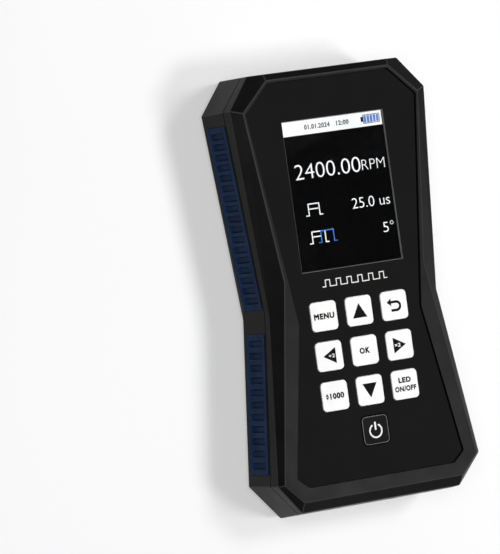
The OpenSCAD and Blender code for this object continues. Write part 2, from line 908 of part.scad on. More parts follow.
// Overlay and display
module front_overlay() {
    color(film_black)
        translate([0, 0, z_film])
            linear_extrude(overlay_t)
                difference() {
                    overlay_shape(0);
                    translate([0, y_screen])
                        square([screen_w, screen_h] + 2 * [screen_margin, screen_margin], center = true);
                    for (place = key_places)
                        translate(place)
                            rounded_rect([key_open_w, key_open_w], key_r + key_gap);
                }
}

module display_window() {
    color(clear)
        translate([0, y_screen, 0])
            plate(window_size, 0.6, z_film - window_t, window_t);
}

module lcd_glass() {
    color(film_black)
        translate([0, y_screen, 0])
            plate(glass_size, 0.3, z_glass, glass_t);
}

module lcd_backlight() {
    color("white")
        translate([0, y_screen, 0]) {
            plate(light_size, 0.5, z_board, z_inner - light_gap - z_board);
            plate(glass_size, 0.3, z_board, z_glass - z_board);
        }
}

// Keys
module key_body(place) {
    translate([place.x, place.y, 0]) {
        plate([key_w, key_w], key_r, z_flange, z_key_top - z_flange);
        plate([flange_w, flange_w], flange_r, z_flange, key_flange_t);
        rod([0, 0], plunger_r, z_plunger, z_flange + 0.1);
    }
}

module key_menu() {
    color(key_white) key_body(key_place(-1, 0));
}

module key_up() {
    color(key_white) key_body(key_place(0, 0));
}

module key_back() {
    color(key_white) key_body(key_place(1, 0));
}

module key_left() {
    color(key_white) key_body(key_place(-1, 1));
}

module key_ok() {
    color(key_white) key_body(key_place(0, 1));
}

module key_right() {
    color(key_white) key_body(key_place(1, 1));
}

module key_thousand() {
    color(key_white) key_body(key_place(-1, 2));
}

module key_down() {
    color(key_white) key_body(key_place(0, 2));
}

module key_lamp() {
    color(key_white) key_body(key_place(1, 2));
}

module key_power() {
    color(black_plastic) key_body(key_place(0, 3));
}

module dome_switches() {
    base_t = 0.15;
    color(steel)
        for (place = key_places)
            translate([place.x, place.y, z_board])
                rotate_extrude()
                    polygon([
                        [0, 0], [dome_r + 0.4, 0], [dome_r + 0.4, base_t], [dome_r, base_t],
                        [dome_r * 0.7, dome_h * 0.8], [dome_r * 0.4, dome_h], [0, dome_h]
                    ]);
}

// Main board
module board_notch(place) {
    r = case_boss_r + boss_gap;
    translate(place) {
        circle(r);
        translate([0, -r])
            square([far, 2 * r]);
    }
}

module main_board() {
    color(board_green)
        translate([0, 0, z_under])
            linear_extrude(board_t)
                difference() {
                    intersection() {
                        polygon(board_outline);
                        translate([-far, y_end + board_end_in])
                            square([2 * far, body_l - board_end_in - board_nose_in]);
                    }
                    both_sides() {
                        for (place = case_screw_places)
                            board_notch(place);
                        for (place = board_screw_places)
                            translate(place)
                                circle(board_screw_r + screw_gap);
                    }
                }
}

module board_components() {
    color(chip_black)
        for (chip = chips)
            centred_block(chip[0], z_under - chip[1].z, chip[1]);
    color(cell_blue)
        both_sides()
            rod([capacitor_x, y_screen + capacitor_dy], capacitor_r, z_under - capacitor_h, z_under);
}

// A pan head screw with its bearing face at z, pointing up
module screw_up(place, z, r, l, head_r, head_h) {
    drive_r = head_r * 0.45;
    difference() {
        union() {
            rod(place, r, z - 0.1, z + l);
            rod(place, head_r, z - head_h, z);
        }
        translate([place.x, place.y, z - head_h - 1])
            cylinder(r = drive_r, h = 1 + head_h * 0.6, $fn = 6);
    }
}

module board_screws() {
    color(steel)
        both_sides()
            for (place = board_screw_places)
                screw_up(place, z_under, board_screw_r, board_screw_l, board_screw_head_r, board_screw_head_h);
}

module case_screws() {
    color(steel)
        both_sides()
            for (place = case_screw_places)
                screw_up(place, z_back + well_d, case_screw_r, case_screw_l, case_head_r, case_head_h);
}

// Flash lamps
module led_lenses() {
    color(clear)
        for (x = lamp_places)
            difference() {
                union() {
                    hex_y(x, y_flange - 0.1, z_lamp, lamp_w - 2 * lens_gap, y_lens - y_flange + 0.1);
                    hex_y(x, y_flange - lens_flange_t, z_lamp, lamp_w + 2 * lens_flange, lens_flange_t);
                }
                difference() {
                    rod_y(x, y_lens - 0.5, z_lamp, optic_r + optic_groove, 1);
                    rod_y(x, y_lens - 1, z_lamp, optic_r, 2);
                }
            }
}

module led_reflectors() {
    color(alloy)
        for (x = lamp_places)
            translate([x, y_lamp_board, z_lamp])
                rotate([-90, 0, 0])
                    rotate_extrude()
                        polygon([
                            [reflector_base_r - reflector_t, 0],
                            [reflector_base_r, 0],
                            [reflector_mouth_r, reflector_l],
                            [reflector_mouth_r - reflector_t, reflector_l]
                        ]);
}

module led_emitters() {
    color(lamp_yellow)
        for (x = lamp_places) {
            translate([x - emitter_w / 2, y_lamp_board, z_lamp - emitter_w / 2])
                cube([emitter_w, emitter_t, emitter_w]);
            intersection() {
                translate([x, y_lamp_board + emitter_t, z_lamp])
                    sphere(emitter_dome_r);
                rod_y(x, y_lamp_board + emitter_t / 2, z_lamp, 2 * emitter_dome_r, 3 * emitter_dome_r);
            }
        }
}

module sink_screw_rods(r, y, l) {
    for (x = [-1, 1])
        for (z = [-1, 1])
            rod_y(x * sink_screw_x, y, z_lamp + z * sink_screw_dz, r, l);
}

module led_board() {
    color(alloy)
        difference() {
            translate([-lamp_board_w / 2, y_sink, z_lamp_board])
                cube([lamp_board_w, lamp_board_t, lamp_board_h]);
            sink_screw_rods(sink_screw_r + screw_gap, y_sink - 1, lamp_board_t + 2);
        }
}

module led_heat_sink() {
    fin_pitch = (sink_w - fin_t) / (fin_n - 1);
    color(alloy)
        difference() {
            union() {
                translate([-sink_w / 2, y_sink - sink_base_t, z_sink])
                    cube([sink_w, sink_base_t, sink_h]);
                for (i = [0 : fin_n - 1])
                    translate([-sink_w / 2 + i * fin_pitch, y_sink - sink_base_t - fin_l, z_sink])
                        cube([fin_t, fin_l + 1, sink_h]);
                for (x = [-1, 1])
                    translate([x * sink_screw_x - 3, y_sink - sink_base_t, z_sink])
                        cube([6, sink_base_t, lamp_board_h - 0.5]);
            }
            sink_screw_rods(sink_screw_r + screw_gap, y_sink - sink_base_t - 1, sink_base_t + 2);
        }
}

module heat_sink_screws() {
    head_h = 1.4;
    color(steel) {
        sink_screw_rods(sink_screw_r, y_sink - sink_base_t, sink_base_t + lamp_board_t + 0.1);
        sink_screw_rods(1.9, y_lamp_board, head_h);
    }
}

module led_connector() {
    z_low = z_sink + sink_h + 0.8;
    color(key_white)
        translate([-3.5, y_sink - 6, z_low])
            cube([7, 6, z_under - z_low]);
}

// Battery
module battery_cells() {
    color(cell_blue)
        for (side = [-1, 1])
            translate([side * cell_x, y_cell + cell_l / 2, z_cell])
                rotate([90 * side, 0, 0]) {
                    translate([0, 0, -cell_l / 2])
                        cylinder(r = cell_r, h = cell_l - button_h);
                    translate([0, 0, cell_l / 2 - button_h - 0.1])
                        cylinder(r = button_r, h = button_h + 0.1);
                }
}

module battery_holder() {
    wall_h = cell_r + holder_t;
    color(black_plastic)
        difference() {
            union() {
                translate([-holder_w / 2, y_holder, z_floor])
                    cube([holder_w, holder_l, wall_h]);
                for (y = [y_holder, y_holder + holder_l - holder_t])
                    translate([-holder_w / 2, y, z_floor])
                        cube([holder_w, holder_t, wall_h + 4]);
            }
            for (side = [-1, 1]) {
                rod_y(side * cell_x, y_holder + holder_t, z_cell, cell_r + 0.1, holder_l - 2 * holder_t);
                translate([side * cell_x - cell_r - 0.1, y_holder + holder_t, z_cell])
                    cube([2 * cell_r + 0.2, holder_l - 2 * holder_t, far]);
            }
        }
}

module contact(side, y, out) {
    spring_t = contact_room - contact_t;
    plate_y = out > 0 ? y + spring_t : y - spring_t - contact_t;
    spring_y = out > 0 ? y : y - spring_t;
    translate([side * cell_x - contact_w / 2, plate_y, z_cell - contact_w / 2])
        cube([contact_w, contact_t, contact_w]);
    rod_y(side * cell_x, spring_y, z_cell, button_r - 0.4, spring_t);
}

module battery_contacts() {
    color(steel)
        for (side = [-1, 1]) {
            contact(side, y_cell + cell_l, 1);
            contact(side, y_cell, -1);
        }
}

// Sockets in the end wall
module port_board() {
    color(board_green)
        difference() {
            translate([-port_w / 2, y_port, z_port])
                cube([port_w, port_l, port_board_t]);
            both_sides()
                rod([post_x, post_y], board_screw_r + screw_gap, z_port - 1, z_port_top + 1);
        }
}

module port_screws() {
    color(steel)
        both_sides() {
            rod([post_x, post_y], board_screw_r, z_port_top - port_screw_l, z_port_top + 0.1);
            rod([post_x, post_y], board_screw_head_r, z_port_top, z_port_top + board_screw_head_h);
        }
}

module charging_socket() {
    shell_t = 0.3;
    y_front = end_y(z_usb) + 0.35;
    color(steel)
        difference() {
            usb_bar(y_front, usb_l, 0);
            usb_bar(y_front - 1, usb_l, -shell_t);
        }
    color(chip_black)
        translate([-socket_x - 3.35, y_front + 0.5, z_usb - 0.35])
            cube([6.7, usb_l - 0.6, 0.7]);
}

module trigger_socket() {
    y_front = end_y(z_jack) + 0.2;
    y_body = y_port + 0.4;
    color(chip_black)
        difference() {
            union() {
                rod_y(socket_x, y_front, z_jack, jack_r, y_body - y_front + 0.1);
                translate([socket_x - jack_r, y_body, z_port_top])
                    cube([2 * jack_r, jack_l, 2 * jack_r]);
            }
            rod_y(socket_x, y_front - 1, z_jack, jack_bore_r, jack_l + 1);
        }
}

// Tripod insert
module tripod_insert() {
    color(brass)
        difference() {
            rod([0, y_tripod], tripod_r, z_back + insert_sink, z_back + insert_sink + tripod_l);
            rod([0, y_tripod], tripod_bore_r, z_back - 1, z_back + tripod_l + 2);
        }
}

// Side grips
module grip(p, q, start, length, height, slot_n) {
    edge = slot_margin + slot_w / 2 + (grip_r - 0.3);
    pitch = (length - 2 * edge) / (slot_n - 1);
    on_wall(p, q, start)
        difference() {
            translate([0, -grip_sink, 0])
                grip_slab(length, height, grip_r, grip_sink + grip_proud);
            for (i = [0 : slot_n - 1])
                translate([edge + i * pitch, grip_proud - slot_d, height / 2])
                    rotate([-90, 0, 0])
                        linear_extrude(slot_d + 1)
                            rounded_rect([slot_w, height - 2 * slot_margin], slot_r);
        }
}

module grip_upper_right() {
    color(grip_blue)
        grip(head_c, waist_c, upper_grip_start, upper_grip_l, upper_grip_h, upper_slot_n);
}

module grip_upper_left() {
    mirror([1, 0, 0]) grip_upper_right();
}

module grip_lower_right() {
    color(grip_blue)
        grip(waist_c, tail_c, lower_grip_start, lower_grip_l, lower_grip_h, lower_slot_n);
}

module grip_lower_left() {
    mirror([1, 0, 0]) grip_lower_right();
}

// Feet
module rubber_feet() {
    color(black_plastic)
        both_sides()
            for (place = foot_places)
                rod(place, foot_r, 0, z_back + foot_sink);
}

front_housing();
rear_housing();
front_overlay();
display_window();
lcd_glass();
lcd_backlight();
key_menu();
key_up();
key_back();
key_left();
key_ok();
key_right();
key_thousand();
key_down();
key_lamp();
key_power();
dome_switches();
main_board();
board_components();
board_screws();
led_board();
led_emitters();
led_reflectors();
led_lenses();
led_heat_sink();
heat_sink_screws();
led_connector();
battery_cells();
battery_holder();
battery_contacts();
port_board();
port_screws();
charging_socket();
trigger_socket();
tripod_insert();
case_screws();
grip_upper_left();
grip_upper_right();
grip_lower_left();
grip_lower_right();
rubber_feet();
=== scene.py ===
"""Looks of the handheld LED stroboscope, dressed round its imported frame.

The case, grips, keys and feet are softened copies of the frame's own nodes. The
lenses, the tripod thread, the screen's picture, the key legends and the socket
contacts are modelled here. Every surface has a procedural material.
"""

import logging
import math
from dataclasses import dataclass, field
from enum import Enum
from functools import partial
from typing import Callable, Sequence

import bmesh
import bpy
from mathutils import Matrix, Vector
from mathutils.bvhtree import BVHTree


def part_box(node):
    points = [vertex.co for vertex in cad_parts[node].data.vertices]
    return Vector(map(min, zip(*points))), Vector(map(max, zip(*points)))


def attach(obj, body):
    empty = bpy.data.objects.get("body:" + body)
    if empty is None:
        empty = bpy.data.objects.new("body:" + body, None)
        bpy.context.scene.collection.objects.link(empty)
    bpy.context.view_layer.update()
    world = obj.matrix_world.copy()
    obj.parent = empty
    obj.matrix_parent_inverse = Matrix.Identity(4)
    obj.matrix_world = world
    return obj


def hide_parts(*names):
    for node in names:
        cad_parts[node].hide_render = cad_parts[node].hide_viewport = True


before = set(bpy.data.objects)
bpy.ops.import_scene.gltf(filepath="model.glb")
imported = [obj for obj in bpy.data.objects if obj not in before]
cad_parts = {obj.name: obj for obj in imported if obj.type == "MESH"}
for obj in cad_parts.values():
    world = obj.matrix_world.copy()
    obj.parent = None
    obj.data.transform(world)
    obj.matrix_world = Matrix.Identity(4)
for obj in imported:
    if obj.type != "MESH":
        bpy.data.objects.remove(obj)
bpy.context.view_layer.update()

MM = 0.001
# Mesh attribute that marks where a highlight is painted along rounded edges
EDGE_HIGHLIGHT = "wear"
# Mesh attribute that marks where shade is painted into the corners of the grips' slots
SLOT_SHADE = "soil"
LOG = logging.getLogger("stroboscope")

# Corners closer than MERGE are one, and one closer than NEAR to a plane is in it
MERGE = 0.002 * MM
NEAR = 0.01 * MM

# The gloss of a surface drifts this much faster than its colour
GLOSS_RATE = 1.3

Colour = tuple[float, float, float, float]
Point = tuple[float, float]
Outline = list[Point]
Piece = bpy.types.Object
Edge = bmesh.types.BMEdge
NodeSocket = bpy.types.NodeSocket
Given = dict[str, NodeSocket]

BLACK: Colour = (0.0, 0.0, 0.0, 1.0)
WHITE: Colour = (1.0, 1.0, 1.0, 1.0)


def srgb(code: str) -> Colour:
    """Linear colour of a six digit sRGB code.

    Args:
        code: Six hexadecimal digits, such as "1b1b1b".

    Returns:
        Red, green, blue and an alpha of one.
    """
    parts = [int(code[i:i + 2], 16) / 255 for i in (0, 2, 4)]
    linear = [p / 12.92 if p <= 0.04045 else ((p + 0.055) / 1.055) ** 2.4 for p in parts]
    return (*linear, 1.0)


class Nodes:
    """Adds and links the nodes of one material or group."""

    def __init__(self, tree: bpy.types.NodeTree) -> None:
        """Takes the node tree that it fills."""
        self.tree = tree

    def feed(self, node: bpy.types.Node, inputs: dict[str | int, object]) -> bpy.types.Node:
        """Gives a node's inputs their values and links.

        Args:
            node: The node.
            inputs: A number, colour or socket for each input, by its name or number.

        Returns:
            The node.
        """
        for label, value in inputs.items():
            if isinstance(value, NodeSocket):
                self.tree.links.new(value, node.inputs[label])
            else:
                node.inputs[label].default_value = value
        return node

    def add(self, kind: str, inputs: dict | None = None, **settings: object) -> bpy.types.Node:
        """A new node.

        Args:
            kind: Blender's name of the node type.
            inputs: What its inputs get.
            **settings: Properties of the node, such as operation.

        Returns:
            The node.
        """
        node = self.tree.nodes.new(kind)
        for name, value in settings.items():
            setattr(node, name, value)
        return self.feed(node, inputs or {})

    def maths(self, operation: str, *values: object) -> NodeSocket:
        """The result of a Math node on numbers or sockets."""
        return self.add("ShaderNodeMath", dict(enumerate(values)), operation=operation).outputs[0]

    def place(self) -> NodeSocket:
        """The piece's own coordinates."""
        return self.add("ShaderNodeTexCoord").outputs["Object"]

    def axes(self) -> bpy.types.NodeOutputs:
        """The piece's own coordinates along X, Y and Z."""
        return self.add("ShaderNodeSeparateXYZ", {"Vector": self.place()}).outputs

    def noise(self, scale: object, detail: float, place: NodeSocket | None = None) -> NodeSocket:
        """Noise from 0 to 1, on the piece's own coordinates if no others are given."""
        inputs = {"Vector": place or self.place(), "Scale": scale, "Detail": detail}
        return self.add("ShaderNodeTexNoise", inputs).outputs["Fac"]

    def spread(
        self, value: NodeSocket, start: float = 0.0, end: float = 1.0, low: object = 0.0, high: object = 1.0,
    ) -> NodeSocket:
        """A value moved from one range to another.

        Args:
            value: The value.
            start: Where its own range starts.
            end: Where its own range ends.
            low: Start of the new range.
            high: End of the new range.

        Returns:
            The value in the new range.
        """
        inputs = {"Value": value, "From Min": start, "From Max": end, "To Min": low, "To Max": high}
        return self.add("ShaderNodeMapRange", inputs).outputs["Result"]

    def mix(self, mask: NodeSocket, under: object, over: object) -> NodeSocket:
        """A colour laid over another one where a mask is."""
        inputs = {"Factor": mask, "A": under, "B": over}
        return self.add("ShaderNodeMix", inputs, data_type="RGBA").outputs["Result"]

    def ramp(self, value: NodeSocket, stops: Sequence[tuple[float, Colour]]) -> NodeSocket:
        """A colour that follows a value.

        Args:
            value: The value, from 0 to 1.
            stops: Value and colour of each stop, in order.

        Returns:
            The colour.
        """
        node = self.add("ShaderNodeValToRGB", {"Fac": value})
        while len(node.color_ramp.elements) < len(stops):
            node.color_ramp.elements.new(1.0)
        for element, (at, colour) in zip(node.color_ramp.elements, stops):
            element.position = at
            element.color = colour
        return node.outputs["Color"]

    def group(self, tree: bpy.types.NodeTree, **values: object) -> NodeSocket:
        """The output of a group that gets its own values."""
        return self.add("ShaderNodeGroup", values, node_tree=tree).outputs[0]


class SurfaceGroups:
    """The shader effects that several materials share, each built once."""

    def __init__(self) -> None:
        """Builds every group."""
        self.drift = self._build("colour_drift", "Color", self._drift, Base=WHITE, Second=WHITE, Scale=80.0)
        self.gloss = self._build("gloss_drift", "Roughness", self._gloss, Smooth=0.3, Rough=0.5, Scale=60.0)
        self.grain = self._build("moulded_grain", "Height", self._grain, Scale=4000.0)
        self.brush = self._build("tool_marks", "Height", self._brush, Scale=6000.0)
        self.pixels = self._build("display_pixels", "Mask", self._pixels, Pitch=0.18 * MM, Gap=0.12, Dark=0.8)
        self.tracks = self._build("board_tracks", "Mask", self._tracks, Pitch=1.2 * MM)
        self.rings = self._build(
            "lens_rings", "Distance", self._rings, Pitch=15.6 * MM, Height=15.6 * MM, Radius=5.3 * MM)
        # One mask paints a highlight along rounded edges; the other paints shade into the corners of the
        # grips' slots
        self.wear, self.soil = (
            self._build(name, "Mask", partial(self._mark, attribute), Scale=900.0, Least=0.55)
            for name, attribute in (("edge_wear", EDGE_HIGHLIGHT), ("slot_soil", SLOT_SHADE)))

    @staticmethod
    def _build(
        name: str, output: str, draw: Callable[[Nodes, Given], NodeSocket], **inputs: object,
    ) -> bpy.types.NodeTree:
        """One group.

        Args:
            name: The group's name.
            output: Name of its output, which is a colour if it is "Color" and else a number.
            draw: Draws its nodes and returns what it puts out.
            **inputs: Default value of each input, a number or a colour.

        Returns:
            The group's node tree.
        """
        tree = bpy.data.node_groups.new(name, "ShaderNodeTree")
        for label, value in inputs.items():
            kind = "NodeSocketFloat" if isinstance(value, float) else "NodeSocketColor"
            tree.interface.new_socket(label, in_out="INPUT", socket_type=kind).default_value = value
        kind = "NodeSocketColor" if output == "Color" else "NodeSocketFloat"
        tree.interface.new_socket(output, in_out="OUTPUT", socket_type=kind)
        nodes = Nodes(tree)
        given = {socket.name: socket for socket in nodes.add("NodeGroupInput").outputs}
        nodes.add("NodeGroupOutput", {output: draw(nodes, given)})
        return tree

    @staticmethod
    def _drift(nodes: Nodes, given: Given) -> NodeSocket:
        """A colour that drifts in soft patches towards a second colour."""
        patches = nodes.spread(nodes.noise(given["Scale"], 3.0), 0.35, 0.65)
        return nodes.mix(patches, given["Base"], given["Second"])

    @staticmethod
    def _gloss(nodes: Nodes, given: Given) -> NodeSocket:
        """A roughness that drifts between two values."""
        return nodes.spread(nodes.noise(given["Scale"], 2.0), 0.3, 0.7, given["Smooth"], given["Rough"])

    @staticmethod
    def _grain(nodes: Nodes, given: Given) -> NodeSocket:
        """The fine eroded grain of a moulded surface.

        Args:
            nodes: Adds the nodes.
            given: The group's inputs.

        Returns:
            The height.
        """
        inputs = {"Vector": nodes.place(), "Scale": given["Scale"], "Smoothness": 0.6}
        pits = nodes.add("ShaderNodeTexVoronoi", inputs, feature="SMOOTH_F1")
        return nodes.maths("ADD", pits.outputs["Distance"], nodes.noise(given["Scale"], 2.0))

    @staticmethod
    def _brush(nodes: Nodes, given: Given) -> NodeSocket:
        """Fine lines round the Z axis, as turning or brushing leaves on metal."""
        stretch = nodes.add("ShaderNodeMapping", {"Vector": nodes.place(), "Scale": (0.06, 0.06, 1.0)})
        return nodes.noise(given["Scale"], 2.0, stretch.outputs["Vector"])

    @staticmethod
    def _pixels(nodes: Nodes, given: Given) -> NodeSocket:
        """The square picture elements of a display, with a dark gap between them.

        Args:
            nodes: Adds the nodes.
            given: The group's inputs.

        Returns:
            The brightness.
        """
        axes = nodes.axes()
        cells = [nodes.maths("FRACT", nodes.maths("DIVIDE", axes[axis], given["Pitch"])) for axis in "XY"]
        lit = [nodes.maths("GREATER_THAN", cell, given["Gap"]) for cell in cells]
        return nodes.spread(nodes.maths("MULTIPLY", *lit), low=given["Dark"])

    @staticmethod
    def _tracks(nodes: Nodes, given: Given) -> NodeSocket:
        """Copper tracks under the green lacquer of a circuit board, in blocks along X and along Y.

        Args:
            nodes: Adds the nodes.
            given: The group's inputs.

        Returns:
            One where a track is.
        """
        axes = nodes.axes()
        blocks = nodes.add(
            "ShaderNodeTexVoronoi", {"Vector": nodes.place(), "Scale": 90.0}, distance="CHEBYCHEV")
        turn = nodes.maths("GREATER_THAN", blocks.outputs["Distance"], 0.42)
        way = nodes.add("ShaderNodeMix", {"Factor": turn, "A": axes["X"], "B": axes["Y"]}).outputs["Result"]
        cell = nodes.maths("FRACT", nodes.maths("DIVIDE", way, given["Pitch"]))
        return nodes.maths("LESS_THAN", cell, 0.35)

    @staticmethod
    def _rings(nodes: Nodes, given: Given) -> NodeSocket:
        """The distance from the axis of the nearest lamp, in lens radii.

        Args:
            nodes: Adds the nodes.
            given: The group's inputs.

        Returns:
            The distance.
        """
        axes = nodes.axes()
        ends = [nodes.maths("MULTIPLY", given["Pitch"], half) for half in (0.5, -0.5)]
        across = nodes.maths("WRAP", axes["X"], *ends)
        up = nodes.maths("SUBTRACT", axes["Z"], given["Height"])
        squares = [nodes.maths("POWER", side, 2.0) for side in (across, up)]
        return nodes.maths("DIVIDE", nodes.maths("SQRT", nodes.maths("ADD", *squares)), given["Radius"])

    @staticmethod
    def _mark(attribute: str, nodes: Nodes, given: Given) -> NodeSocket:
        """An uneven mask from one of the mesh's own attributes.

        Args:
            attribute: The attribute's name.
            nodes: Adds the nodes.
            given: The group's inputs.

        Returns:
            The mask.
        """
        marked = nodes.add("ShaderNodeAttribute", attribute_name=attribute).outputs["Fac"]
        uneven = nodes.spread(nodes.noise(given["Scale"], 3.0), low=given["Least"])
        return nodes.maths("MULTIPLY", marked, uneven)


GROUPS = SurfaceGroups()


@dataclass(frozen=True)
class Finish:
    """A plain surface whose colour and gloss drift and whose grain stands up.

    Attributes:
        name: Name of the material.
        base: Main colour, six sRGB digits.
        second: Colour that it drifts towards.
        smooth: Lowest roughness.
        rough: Highest roughness.
        patch: Size of the patches of the drift, in millimetres.
        grain: Size of the grain, in millimetres.
        relief: Height of the grain, in millimetres.
        level: Specular level.
        metallic: One for a metal.
        coat: Weight of a clear coat.
    """

    name: str
    base: str
    second: str
    smooth: float = 0.4
    rough: float = 0.5
    patch: float = 14
    grain: float = 0.3
    relief: float = 0.01
    level: float = 0.5
    metallic: float = 0.0
    coat: float = 0.0

    def material(self) -> bpy.types.Material:
        """The material of this finish, made once.

        Returns:
            The material.
        """
        made = bpy.data.materials.get(self.name)
        if not made:
            made = bpy.data.materials.new(self.name)
            made.use_nodes = True
            nodes = Nodes(made.node_tree)
            nodes.feed(made.node_tree.nodes["Principled BSDF"], self.wiring(nodes))
        return made

    def colour(self, nodes: Nodes) -> NodeSocket:
        """The drifting colour."""
        return nodes.group(
            GROUPS.drift, Base=srgb(self.base), Second=srgb(self.second), Scale=1 / (self.patch * MM))

    def height(self, nodes: Nodes) -> NodeSocket:
        """The height of the surface's relief."""
        return nodes.group(GROUPS.grain, Scale=1 / (self.grain * MM))

    def wiring(self, nodes: Nodes) -> dict[str, object]:
        """What the shader's inputs get: its plain values, and what colour, gloss and relief put out.

        Args:
            nodes: Adds the nodes.

        Returns:
            A value or socket for each input, by its name.
        """
        gloss_scale = GLOSS_RATE / (self.patch * MM)
        bump = {"Distance": self.relief * MM, "Height": self.height(nodes)}
        return {
            "Base Color": self.colour(nodes),
            "Roughness": nodes.group(GROUPS.gloss, Smooth=self.smooth, Rough=self.rough, Scale=gloss_scale),
            "Normal": nodes.add("ShaderNodeBump", bump).outputs["Normal"],
            "Specular IOR Level": self.level,
            "Metallic": self.metallic,
            "Coat Weight": self.coat,
        }


@dataclass(frozen=True)
class EdgeLitFinish(Finish):
    """A moulded plastic with a painted highlight along its rounded edges.

    Attributes:
        edge_light: Colour of the painted highlight along the edges.
    """

    edge_light: str = "4a4948"

    def colour(self, nodes: Nodes) -> NodeSocket:
        """The drifting colour with a painted highlight on its edges."""
        return nodes.mix(nodes.group(GROUPS.wear), super().colour(nodes), srgb(self.edge_light))


@dataclass(frozen=True)
class SlotShadeFinish(EdgeLitFinish):
    """A rubber with a painted highlight on its edges and painted shade in the corners of its slots.

    Attributes:
        slot_shade_colour: Colour of the painted shade in the corners of the slots.
        least: Weakest part of that colour, from 0 to 1.
    """

    slot_shade_colour: str = "050a12"
    least: float = 0.9

    def colour(self, nodes: Nodes) -> NodeSocket:
        """The colour with its painted edge highlight and the painted shade in the slots' corners."""
        soil = nodes.group(GROUPS.soil, Least=self.least)
        return nodes.mix(soil, super().colour(nodes), srgb(self.slot_shade_colour))


@dataclass(frozen=True)
class MetalFinish(Finish):
    """A metal with fine tool marks round the Z axis."""

    metallic: float = 1.0

    def height(self, nodes: Nodes) -> NodeSocket:
        """The height of the tool marks."""
        return nodes.group(GROUPS.brush, Scale=1 / (self.grain * MM))


@dataclass(frozen=True)
class GlassFinish(Finish):
    """A clear moulded window.

    Attributes:
        ior: How strongly it bends light.
    """

    ior: float = 1.49

    def wiring(self, nodes: Nodes) -> dict[str, object]:
        """The plain wiring, with a plain transmission."""
        return super().wiring(nodes) | {"Transmission Weight": 1.0, "IOR": self.ior}


@dataclass(frozen=True)
class ScreenFinish(Finish):
    """A lit part of the display's picture, made of square picture elements.

    Attributes:
        strength: Strength of the light.
        pitch: Distance between the picture elements, in millimetres.
        dark: Brightness of the gaps between them.
        unlit: Red, green and blue of the surface itself.
    """

    strength: float = 1.0
    pitch: float = 0.18
    dark: float = 0.8
    unlit: float = 0.002

    def wiring(self, nodes: Nodes) -> dict[str, object]:
        """The plain wiring, with the colour as light and the surface itself dark.

        Args:
            nodes: Adds the nodes.

        Returns:
            A value or socket for each input, by its name.
        """
        plain = super().wiring(nodes)
        pixels = nodes.group(GROUPS.pixels, Pitch=self.pitch * MM, Dark=self.dark)
        return plain | {
            "Emission Color": nodes.mix(pixels, BLACK, plain["Base Color"]),
            "Emission Strength": self.strength,
            "Base Color": (self.unlit, self.unlit, self.unlit, 1.0),
        }


@dataclass(frozen=True)
class LampFinish(Finish):
    """A lit lens: brightest at its rim and its middle, with a darker ring between.

    Attributes:
        strength: Strength of the light.
        reach: How far the rings reach, in lens radii.
        rings: Colour of the light at distances from the middle, in lens radii.
    """

    strength: float = 0.62
    reach: float = 1.4
    rings: tuple[tuple[float, str], ...] = (
        (0.0, "ffffff"), (0.5, "eceef3"), (0.86, "e4e6eb"),
        (0.98, "b4b8be"), (1.06, "eff1f5"), (1.2, "ffffff"))

    def wiring(self, nodes: Nodes) -> dict[str, object]:
        """The plain wiring, with the ringed light.

        Args:
            nodes: Adds the nodes.

        Returns:
            A value or socket for each input, by its name.
        """
        share = nodes.maths("DIVIDE", nodes.group(GROUPS.rings), self.reach)
        light = nodes.ramp(share, [(at / self.reach, srgb(code)) for at, code in self.rings])
        return super().wiring(nodes) | {"Emission Color": light, "Emission Strength": self.strength}


@dataclass(frozen=True)
class BoardFinish(Finish):
    """A lacquered circuit board with its copper tracks.

    Attributes:
        track: Colour of the lacquer over the tracks.
    """

    track: str = "2f7a45"

    def colour(self, nodes: Nodes) -> NodeSocket:
        """The lacquer over board and tracks."""
        return nodes.mix(nodes.group(GROUPS.tracks), super().colour(nodes), srgb(self.track))


